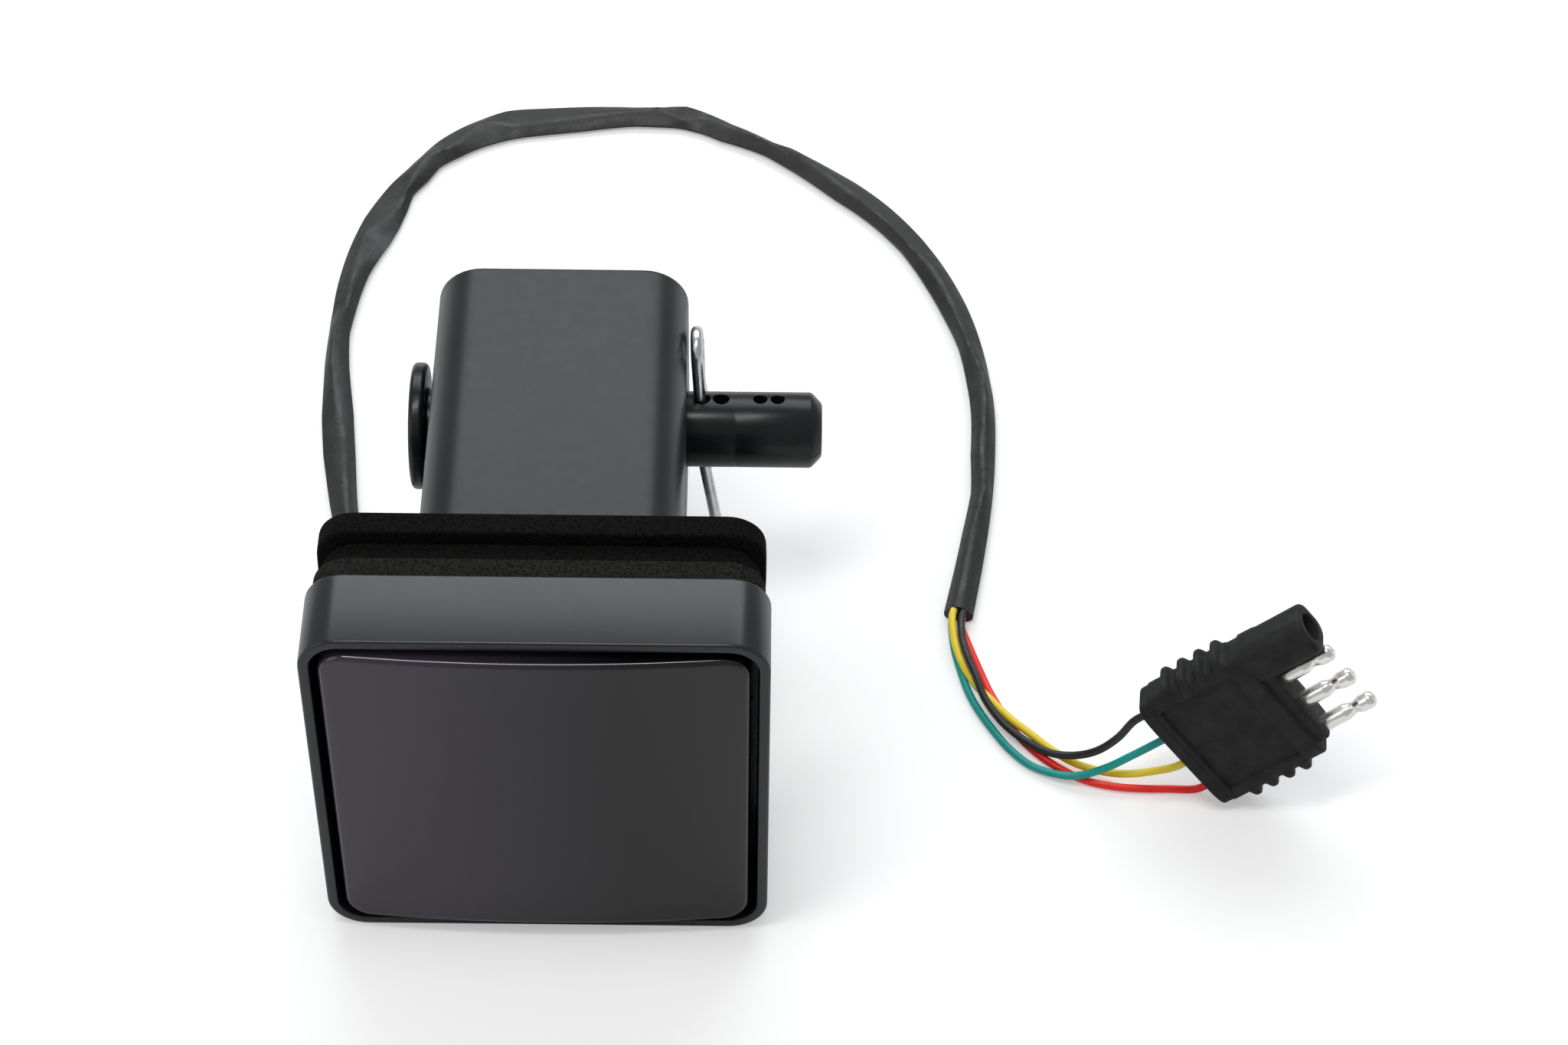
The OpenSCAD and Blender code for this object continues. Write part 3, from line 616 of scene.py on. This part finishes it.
# Lens: a cap with a round front edge, bowed across its width, 2.4 mm proud in the middle
lens = {
    "width": 77 * mm,
    "corner": 5 * mm,
    "proud": 2.4 * mm,
    "bow": 2 * mm,
    "edge": 1.1 * mm,
    "wall": 2 * mm,
    "skirt": 5 * mm,
    "skirtFront": 1.5 * mm,
    "skirtRows": 5,
    "edgeRows": 9,
    "faceRows": 26,
    "cornerSteps": 12,
    "sideSteps": 40,
}


def makeLens(s):
    # front face: outlines shrunk toward the middle, y = bow * (x / half width) squared
    half = s["width"] / 2

    def outline(inset):
        return roundedOutline(s["width"] - 2 * inset, s["width"] - 2 * inset, s["corner"] - inset,
                              s["cornerSteps"], s["sideSteps"])

    def bow(x):
        return -s["proud"] + s["bow"] * (x / half) ** 2

    rows = [ringAt(outline(0), rimY + y)
            for y in np.linspace(s["skirt"], s["skirtFront"], s["skirtRows"])]
    for angle in np.linspace(0, math.pi / 2, s["edgeRows"]):
        flat = outline(s["edge"] * (1 - math.cos(angle)))
        rows.append(ringAt(flat, rimY + bow(flat[:, 0]) + s["edge"] * (1 - math.sin(angle))))
    # the face's rings lie closer together at its edge: share = 1 - step ^ 1.2
    for share in 1 - np.linspace(0.03, 1, s["faceRows"]) ** 1.2:
        inner = flat * max(share, 0.002)
        rows.append(ringAt(inner, rimY + bow(inner[:, 0])))
    rows = np.array(rows)
    inner = rows[::-1].copy()
    scaleIn = (half - s["wall"]) / half
    inner[..., 0] = middleX + (inner[..., 0] - middleX) * scaleIn
    inner[..., 2] = middleZ + (inner[..., 2] - middleZ) * scaleIn
    inner[:-s["skirtRows"], :, 1] += s["wall"]
    count, around = rows.shape[:2]
    points = np.vstack([rows.reshape(-1, 3), inner.reshape(-1, 3)])
    faces = gridFaces(count, around, closed=False)
    faces += gridFaces(count, around, closed=False, offset=count * around)
    j = np.arange(around)
    k = (j + 1) % around
    innerEnd = (2 * count - 1) * around
    faces += np.stack([innerEnd + j, innerEnd + k, k, j], -1).tolist()
    faces.append(((count - 1) * around + j).tolist())
    faces.append((count * around + j)[::-1].tolist())
    newPiece("lensCap", points, faces, finishes["lens"], "light", "smoked_lens", ["lens"])


makeLens(lens)
print("housing and lens done")

# Foam gasket: three sheets with slightly uneven cut edges; the middle one stands in from the others
gasket = {
    "width": 82 * mm,
    "corner": 7 * mm,
    "opening": 51 * mm,
    "openingCorner": 9.5 * mm,
    "edge": 0.7 * mm,
    "openingEdge": 0.3 * mm,
    "cornerSteps": 12,
    "sideSteps": 60,
    "ripple": 0.06 * mm,
    # name, node, front, rear, how far it stands in at the sides and at top and bottom, finish
    "sheets": [
        ("foamFront", "gasket_front_sheet", 16 * mm, 21 * mm, 0, 0, "foam"),
        # the middle and rear sheets use the darker foam finish, which is painted shade
        ("foamMiddle", "gasket_middle_sheet", 21 * mm, 27 * mm, 1 * mm, 2.8 * mm, "foamPaintedShade"),
        ("foamRear", "gasket_rear_sheet", 27 * mm, 32 * mm, 0, 0, "foamPaintedShade"),
    ],
}


def makeFoamSheet(s, name, node, near, far, sideInset, topInset, finishName):
    width, height = s["width"] - 2 * sideInset, s["width"] - 2 * topInset
    near, far = rimY + near, rimY + far
    hole = (width - s["opening"]) / 2
    loop = roundedLoop([(0, near), (0, far), (hole, far), (hole, near)],
                       [s["edge"], s["edge"], s["openingEdge"], s["openingEdge"]])
    steps = s["cornerSteps"], s["sideSteps"]
    outer = roundedOutline(width, height, s["corner"], *steps)
    inner = roundedOutline(s["opening"], s["opening"], s["openingCorner"], *steps)
    rows = np.array([ringAt(outer + (inner - outer) * min(inset / hole, 1), y)
                     for inset, y in loop])
    # ripple of the cut edge: (sin(410 x + 90 y) + sin(530 z + 1.3)) * ripple
    x, y, z = np.moveaxis(rows, -1, 0)
    ripple = (np.sin(x * 410 + y * 90) + np.sin(z * 530 + 1.3)) * s["ripple"]
    rows[..., 0] += ripple * np.sign(x - middleX)
    newPiece(name, rows.reshape(-1, 3), gridFaces(*rows.shape[:2]), finishes[finishName],
             "light", "foam", [node])


for sheet in gasket["sheets"]:
    makeFoamSheet(gasket, *sheet)
print("gasket done")

# Shank: square tube with soft edges, its flange and the cross bore for the pin
shank = {
    "width": 50 * mm,
    "corner": 9 * mm,
    "wall": 4 * mm,
    "flangeWidth": 50 * mm,
    "flangeHeight": 68 * mm,
    "flange": 5 * mm,
    "rearEdge": 0.9 * mm,
    "innerEdge": 0.5 * mm,
    "boreRadius": 7.7 * mm,
    "boreLength": 60 * mm,
}


def makeShank(s):
    near = rimY + housing["depth"]
    back = near + s["flange"]
    loop = roundedLoop([(0, back), (0, shankEnd), (s["wall"], shankEnd), (s["wall"], back)],
                       [0, s["rearEdge"], s["innerEdge"], 0])
    rows = outlineRows(s["width"], s["width"], s["corner"], loop)
    tube = newPiece("shankTube", rows.reshape(-1, 3), gridFaces(*rows.shape[:2]),
                    finishes["shank"], "light", "shank_plastic", ["shank"])
    middle = s["flangeWidth"] / 2
    flange = outlineRows(s["flangeWidth"], s["flangeHeight"], s["corner"],
                         [(middle, near), (0, near), (0, back), (middle, back)], 0.3 * mm)
    newPiece("shankFlange", *cappedGrid(flange), finishes["shank"], "light", "shank_plastic")
    return tube


def cutRound(piece, cutters):
    # takes cylinders out of a piece and keeps the result as its mesh;
    # each cutter is a centre, a direction, a radius and a length
    for centre, direction, radius, length in cutters:
        angle = np.linspace(0, 2 * math.pi, 64, endpoint=False)
        direction = np.array(direction, float) / np.linalg.norm(direction)
        helper = np.array([0, 1, 0]) if abs(direction[1]) < 0.9 else np.array([1, 0, 0])
        side = np.cross(direction, helper)
        side /= np.linalg.norm(side)
        over = np.cross(direction, side)
        ring = radius * (np.cos(angle)[:, None] * side + np.sin(angle)[:, None] * over)
        points, faces = cappedGrid(np.array([centre - direction * length / 2 + ring,
                                             centre + direction * length / 2 + ring]))
        mesh = bpy.data.meshes.new("cutter")
        mesh.from_pydata(points.tolist(), [], faces)
        cutter = bpy.data.objects.new("cutter", mesh)
        bpy.context.scene.collection.objects.link(cutter)
        modifier = piece.modifiers.new("cut", "BOOLEAN")
        modifier.operation = "DIFFERENCE"
        modifier.solver = "EXACT"
        modifier.object = cutter
        seen = piece.evaluated_get(bpy.context.evaluated_depsgraph_get())
        whole = bpy.data.meshes.new_from_object(seen)
        piece.modifiers.clear()
        piece.data = whole
        bpy.data.objects.remove(cutter)
    piece.data.polygons.foreach_set("use_smooth", np.ones(len(piece.data.polygons), dtype=bool))
    piece.data.set_sharp_from_angle(angle=math.radians(30))


cutRound(makeShank(shank), [(pinAxis, (1, 0, 0), shank["boreRadius"], shank["boreLength"])])
print("shank done")

# Hitch pin: a turned profile along X, with four cross holes turned 10 degrees from upright
pin = {
    "radius": 7.6 * mm,
    "head": 12.75 * mm,
    "headThick": 3 * mm,
    "headEdge": 1 * mm,
    "headFlat": 6 * mm,
    "fillet": 0.4 * mm,
    "chamfer": 2.1 * mm,
    "chamferSoft": 0.3 * mm,
    "groove": 9.8 * mm,
    "grooveHalf": 0.4 * mm,
    "grooveDeep": 0.06 * mm,
    "turn": 10,
    # distance from the shank's wall and diameter, in mm
    "holes": [(3.0, 3.4), (6.8, 3.4), (14.6, 2.9), (18.1, 2.9)],
    "drillLength": 40 * mm,
    # a small radius in place of the point at the middle of both ends
    "tip": 0.05 * mm,
    "around": 96,
}
# the shank's right wall
wallX = middleX + shank["width"] / 2


def makePin(s):
    headOut, headIn = pinLow[0], pinLow[0] + s["headThick"]
    end, radius, edge, chamfer = pinHigh[0], s["radius"], s["headEdge"], s["chamfer"]
    groove, half, fillet = wallX + s["groove"], s["grooveHalf"], s["fillet"]
    soft, tip = s["chamferSoft"], s["tip"]
    # distance along X and radius, from the head's face to the free end
    profile = [(headOut, tip), (headOut, s["headFlat"])]
    arc = np.linspace(0, math.pi / 2, 8)
    profile += [(headOut + edge - edge * math.cos(a), s["head"] - edge + edge * math.sin(a))
                for a in arc]
    profile += [(headIn - edge + edge * math.sin(a), s["head"] - edge + edge * math.cos(a))
                for a in arc]
    profile += [(headIn, radius + fillet), (headIn + fillet, radius), (wallX, radius),
                (groove - half, radius), (groove, radius - s["grooveDeep"]),
                (groove + half, radius), (end - chamfer - soft, radius),
                (end - chamfer + 0.2 * mm, radius - 0.25 * mm),
                (end - soft, radius - chamfer + 0.2 * mm),
                (end, radius - chamfer - soft), (end, tip)]
    angle = np.linspace(0, 2 * math.pi, s["around"], endpoint=False)
    rows = np.stack([np.column_stack([np.full(s["around"], x), pinAxis[1] + r * np.cos(angle),
                                      pinAxis[2] + r * np.sin(angle)]) for x, r in profile])
    piece = newPiece("hitchPin", *cappedGrid(rows), finishes["pin"], "pin", "black_steel",
                     ["hitch_pin"])
    turn = math.radians(s["turn"])
    along = (0, math.sin(turn), math.cos(turn))
    cutRound(piece, [(np.array([wallX + x * mm, pinAxis[1], pinAxis[2]]), along, d / 2 * mm,
                      s["drillLength"]) for x, d in s["holes"]])


makePin(pin)

# Spring clip: the wire's middle line in its own plane in mm, made of touching arcs
clip = {
    "wire": 2.4 * mm,
    # above and below the pin's axis
    "rise": 21.3,
    "drop": 35.0,
    # the loop's outer width, the play on the pin and the radius of both waists
    "loop": 10.6,
    "slack": 0.1,
    "waist": 2.5,
    # the tail's angle in degrees and its straight length
    "flare": 30,
    "flareLength": 3.0,
    "legSteps": 40,
    # the straight leg is bent outwards, away from the shank, from this far below the pin's axis
    "legBend": 6,
    "bendFrom": 9 * mm,
    "around": 20,
}


def onCircle(radius, degrees):
    return radius * np.array([math.cos(math.radians(degrees)), math.sin(math.radians(degrees))])


def arcPoints(centre, radius, start, end, steps):
    return np.array([centre + onCircle(radius, t) for t in np.linspace(start, end, steps)])


def clipLine(s):
    # straight leg, loop, upper waist, bow round the pin, lower waist and flared tail
    wire = s["wire"] / mm
    loopR = (s["loop"] - wire) / 2
    loopAt = np.array([loopR, s["rise"] - s["loop"] / 2])
    bowR = pin["radius"] / mm + wire / 2 + s["slack"]
    reachPin, reachLoop = bowR + s["waist"], loopR + s["waist"]
    span = np.linalg.norm(loopAt)
    turnIn = math.degrees(math.acos((reachPin ** 2 + span ** 2 - reachLoop ** 2)
                                    / (2 * reachPin * span)))
    waistAngle = math.degrees(math.atan2(loopAt[1], loopAt[0])) - turnIn
    waistAt = onCircle(reachPin, waistAngle)
    loopEnd = math.degrees(math.atan2(waistAt[1] - loopAt[1], waistAt[0] - loopAt[0]))
    last = arcPoints(waistAt * [1, -1], s["waist"], 180 - waistAngle, 180 + s["flare"], 12)
    tail = last[-1] + np.array([[0.5], [1.0]]) * onCircle(s["flareLength"], s["flare"] - 90)
    leg = np.linspace(-s["drop"], loopAt[1] - 0.4, s["legSteps"])
    return np.vstack([np.column_stack([np.zeros(len(leg)), leg]),
                      arcPoints(loopAt, loopR, 180, loopEnd, 44),
                      arcPoints(waistAt, s["waist"], loopEnd + 180, waistAngle + 180, 14)[1:],
                      arcPoints(np.zeros(2), bowR, waistAngle, -waistAngle, 26)[1:],
                      last[1:], tail])


def makeClip(s):
    line = clipLine(s) * mm
    hole = pin["holes"][0]
    lean = math.atan((hole[1] - s["wire"] / mm - s["slack"]) / (2 * pin["radius"] / mm))
    turn = math.radians(pin["turn"])
    below = np.clip(-line[:, 1] - s["bendFrom"], 0, None)
    bend = math.tan(math.radians(s["legBend"]))
    out = np.where(np.arange(len(line)) < s["legSteps"], below * bend, 0)
    x, y, z = out - line[:, 1] * math.sin(lean), line[:, 0], line[:, 1] * math.cos(lean)
    turned = np.column_stack([x, y * math.cos(turn) + z * math.sin(turn),
                              -y * math.sin(turn) + z * math.cos(turn)])
    path = turned + [wallX + hole[0] * mm, pinAxis[1], pinAxis[2]]
    rows = tubeRows(path, s["wire"] / 2, s["around"], upright=(1, 0, 0))
    newPiece("springClip", *cappedGrid(rows), finishes["clip"], "pin", "spring_wire",
             ["hairpin_clip"])


makeClip(clip)
print("pin and clip done")


def softStep(x, low, high):
    # 0 below low, 1 above high and a smooth rise between
    t = np.clip((x - low) / (high - low), 0, 1)
    return t * t * (3 - 2 * t)


# Plug body in mm: one lofted body. Each ring lies across the plug at a distance u from its rear
# face; its half width and half thickness follow the flange, ribs, sunk panel, front rim and nose
plugForm = {
    "flange": 2.4,
    "ribs": [7.2, 11.1, 15.0, 18.9],
    "ribHalf": 0.95,
    "ribOut": 1.6,
    "gripHalf": 15.1,
    "gripThick": 4.6,
    "rim": 20.7,
    "rimEnd": 24.4,
    "noseHalf": 12.4,
    "noseThick": 4.0,
    "panelHalf": 11.6,
    "panelSunk": 0.9,
    "panelMargin": 1.0,
    "endRound": 0.7,
    "squareness": 6,
    "stations": 200,
    "around": 200,
    # the shroud round the socket: its width past one pitch, its height and corner radius, and
    # how much wider its hole is than a terminal
    "shroudWall": 2,
    "shroudHigh": 9.2,
    "shroudCorner": 3.0,
    "holeGap": 2.4,
}


def plugRing(form, u):
    # superellipse ring with square shoulders, then the sunk panel and the ribs
    angle = np.linspace(0, 2 * math.pi, form["around"], endpoint=False)
    c, s = np.cos(angle), np.sin(angle)
    full, thick = plug["width"] / mm / 2, plug["thick"] / mm / 2
    last, power, end = plug["length"] / mm, 2 / form["squareness"], form["endRound"]
    # rib: the height of the nearest rib, exp(-(distance from its middle / ribHalf) ^ 4)
    rib = max(math.exp(-((u - at) / form["ribHalf"]) ** 4) for at in form["ribs"])
    flange = 1 - softStep(u, form["flange"] - 0.2, form["flange"] + 0.2)
    rim = softStep(u, form["rim"] - 0.2, form["rim"] + 0.2)
    nose = softStep(u, form["rimEnd"] - 0.15, form["rimEnd"] + 0.25)
    raised = max(flange, rim)
    halfWidth = (form["gripHalf"] + (full - form["gripHalf"]) * raised
                 + rib * form["ribOut"] * (1 - raised))
    halfThick = form["gripThick"] + (thick - form["gripThick"]) * raised
    halfWidth += (form["noseHalf"] - halfWidth) * nose
    halfThick += (form["noseThick"] - halfThick) * nose
    # round ends: inset = end - square root of (end ^ 2 - (end - distance to the end) ^ 2)
    nearEnd = min(u, last - u, abs(u - form["rimEnd"]) + 0.25, end)
    rounding = end - math.sqrt(max(0.0, end ** 2 - (end - nearEnd) ** 2))
    y = (halfWidth - rounding) * np.sign(c) * np.abs(c) ** power
    z = (halfThick - rounding) * np.sign(s) * np.abs(s) ** power
    panel = 1 - softStep(np.abs(y), form["panelHalf"], form["panelHalf"] + 0.6)
    start, stop = form["flange"] + form["panelMargin"], form["rim"] - form["panelMargin"]
    inside = softStep(u, start, start + 0.4) * (1 - softStep(u, stop, stop + 0.4))
    z = z - np.sign(z) * form["panelSunk"] * panel * inside
    return np.column_stack([np.full(len(angle), u), y, z])


def shroudRows(form):
    # outer shell from the rim to the open end, round its lip and back down the hole
    last = plug["length"] / mm
    end = last + plug["reach"] / mm
    half = (plug["pitch"] / mm + form["shroudWall"]) / 2
    hole = (plug["pole"] / mm + form["holeGap"]) / 2
    flat = roundedOutline(2 * half, form["shroudHigh"], form["shroudCorner"], 12, 8)
    angle = np.arctan2(flat[:, 1], flat[:, 0])
    circle = np.column_stack([np.cos(angle), np.sin(angle)])
    outside = [(form["rimEnd"] - 0.6, 0.2), (last, 0.15), (last + 1, 0.0), (end - 0.9, 0.0),
               (end - 0.45, -0.1), (end - 0.15, -0.35), (end, -0.8)]
    inside = [(end, hole + 0.25), (end - 0.25, hole), (end - 5, hole), (last + 0.6, hole),
              (last + 0.6, 0.02)]
    rings = [(u, flat * (1 + grow / half)) for u, grow in outside]
    rings += [(u, circle * radius) for u, radius in inside]
    rows = np.array([np.column_stack([np.full(len(ring), u), ring]) for u, ring in rings]) * mm
    rows[..., 1] += poleSide(0)
    return rows


def makePlugBody(form):
    last, end = plug["length"] / mm, form["endRound"]
    stations = np.concatenate([np.linspace(0, end, 8),
                               np.linspace(end + 0.15, last - end - 0.05, form["stations"]),
                               np.linspace(last - end, last, 8)])
    points, faces = cappedGrid(np.array([plugRing(form, u) for u in stations]) * mm)
    shroudPoints, shroudFaces = cappedGrid(shroudRows(form))
    faces = faces + [[i + len(points) for i in face] for face in shroudFaces]
    points = onPlug(np.vstack([points, shroudPoints]))
    return newPiece("plugBody", points, faces, finishes["plug"], "light", "plug_rubber",
                    ["plug_body"], 40)


# Bullet terminal in mm: a rolled tube with a waist, a seam and a rounded head
terminal = {
    "radius": 1.75,
    "waist": 1.25,
    "seam": 0.3,
    "seamAngle": 2.4,
    "seamHalf": 0.16,
    "rings": 70,
    "around": 48,
}


def makeTerminal(s, index):
    end, radius, waist = plug["reach"] / mm, s["radius"], s["waist"]
    # distance from the plug's face, and radius there
    profile = np.array([(-5.9, radius), (0, radius), (end - 6.4, radius), (end - 5.6, radius - 0.3),
                        (end - 5.0, waist), (end - 4.3, waist), (end - 3.5, radius - 0.2),
                        (end - 2.9, radius), (end - 0.9, radius), (end - 0.4, radius - 0.25),
                        (end, radius - 0.75), (end, 0.4), (end - 0.8, 0.35)])
    along = distanceAlong(profile)
    u, r = [np.interp(np.linspace(0, along[-1], s["rings"]), along, side)[:, None]
            for side in profile.T]
    angle = np.linspace(0, 2 * math.pi, s["around"], endpoint=False)
    # the seam is a groove along the tube: seam * exp(-(angle from it / seamHalf) ^ 2)
    away = np.angle(np.exp(1j * (angle - s["seamAngle"])))
    dent = s["seam"] * np.exp(-(away / s["seamHalf"]) ** 2) * softStep(u, 0.5, 1.5)
    r = np.maximum(r - dent, 0.2)
    u = np.broadcast_to(u + plug["length"] / mm, r.shape)
    rows = np.stack([u, r * np.cos(angle), r * np.sin(angle)], -1) * mm
    rows[..., 1] += poleSide(index)
    points, faces = cappedGrid(rows)
    return newPiece("plugTerminal" + str(index), onPlug(points), faces, finishes["nickel"],
                    "light", "nickel", ["plug_terminal_" + str(index)])


plugBody = makePlugBody(plugForm)
terminals = [makeTerminal(terminal, i) for i in (1, 2, 3)]
print("plug done")


# CAD nodes that keep their own mesh get their finish
nodeFinishes = {
    "lens_seal": "rubber",
    "led_board": "board",
    "board_leads": "leads",
    "board_screws": "steel",
    "shank_screws": "steel",
    "cable_grommet": "rubber",
    "plug_socket_terminal": "nickel",
}
for part, count, finishName in (("led", 15, "epoxy"), ("resistor", 5, "lacquer"),
                                ("diode", 3, "rubber")):
    for i in range(count):
        nodeFinishes[part + "_" + str(i + 1)] = finishName
for node, finishName in nodeFinishes.items():
    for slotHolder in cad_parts[node].material_slots:
        slotHolder.material = finishes[finishName]


# Floor and light: the camera sees the paper lifted to white, everything else sees it as it is
studio = {
    "floor": 6.0,
    "floorColour": colour(0.84, 0.84, 0.84),
    "floorRough": 0.9,
    "floorLift": 0.3,
    "world": 0.4,
    # name, place, what it is aimed at, size, power, tint
    "lights": [
        ("backSoftbox", (0.05, 1.0, 0.95), (0, 0.03, 0.03), (1.4, 0.7), 9, (0.9, 0.97, 1.0)),
        ("topSoftbox", (-0.12, -0.08, 1.05), (0, 0, 0.03), (0.17, 0.5), 3.2, (1, 1, 1)),
        ("leftSoftbox", (-0.8, -0.3, 0.5), (0, 0, 0.04), (0.7, 0.6), 1.6, (1, 1, 1)),
    ],
}


def makeFloor(s):
    half = s["floor"] / 2
    mesh = bpy.data.meshes.new("floor")
    mesh.from_pydata([(-half, -half, 0), (half, -half, 0), (half, half, 0), (-half, half, 0)],
                     [], [(0, 1, 2, 3)])
    floor = bpy.data.objects.new("floor", mesh)
    bpy.context.scene.collection.objects.link(floor)
    material = bpy.data.materials.new("floorPaper")
    material.use_nodes = True
    nodes, links = material.node_tree.nodes, material.node_tree.links
    shader = nodes["Principled BSDF"]
    shader.inputs["Base Color"].default_value = s["floorColour"]
    shader.inputs["Roughness"].default_value = s["floorRough"]
    shader.inputs["Emission Color"].default_value = colour(1, 1, 1)
    seen = nodes.new("ShaderNodeLightPath")
    lift = nodes.new("ShaderNodeMath")
    lift.operation = "MULTIPLY"
    lift.inputs[1].default_value = s["floorLift"]
    links.new(seen.outputs["Is Camera Ray"], lift.inputs[0])
    links.new(lift.outputs[0], shader.inputs["Emission Strength"])
    mesh.materials.append(material)


def makeArea(name, place, aim, size, power, tint):
    data = bpy.data.lights.new(name, "AREA")
    data.shape = "RECTANGLE"
    data.size, data.size_y = size
    data.energy = power
    data.color = tint
    lamp = bpy.data.objects.new(name, data)
    direction = np.array(aim, float) - np.array(place, float)
    direction /= np.linalg.norm(direction)
    side = np.cross(direction, [0, 0, 1])
    side /= np.linalg.norm(side)
    up = np.cross(side, direction)
    turn = Matrix(np.column_stack([side, up, -direction]).tolist()).to_4x4()
    lamp.matrix_world = Matrix.Translation(place) @ turn
    bpy.context.scene.collection.objects.link(lamp)


def makeWorld(s):
    world = bpy.data.worlds.new("studio")
    bpy.context.scene.world = world
    world.use_nodes = True
    background = world.node_tree.nodes["Background"]
    background.inputs["Color"].default_value = colour(1, 1, 1)
    background.inputs["Strength"].default_value = s["world"]


makeFloor(studio)
for light in studio["lights"]:
    makeArea(*light)
makeWorld(studio)
bpy.context.scene.view_settings.view_transform = "Standard"
print("studio done")
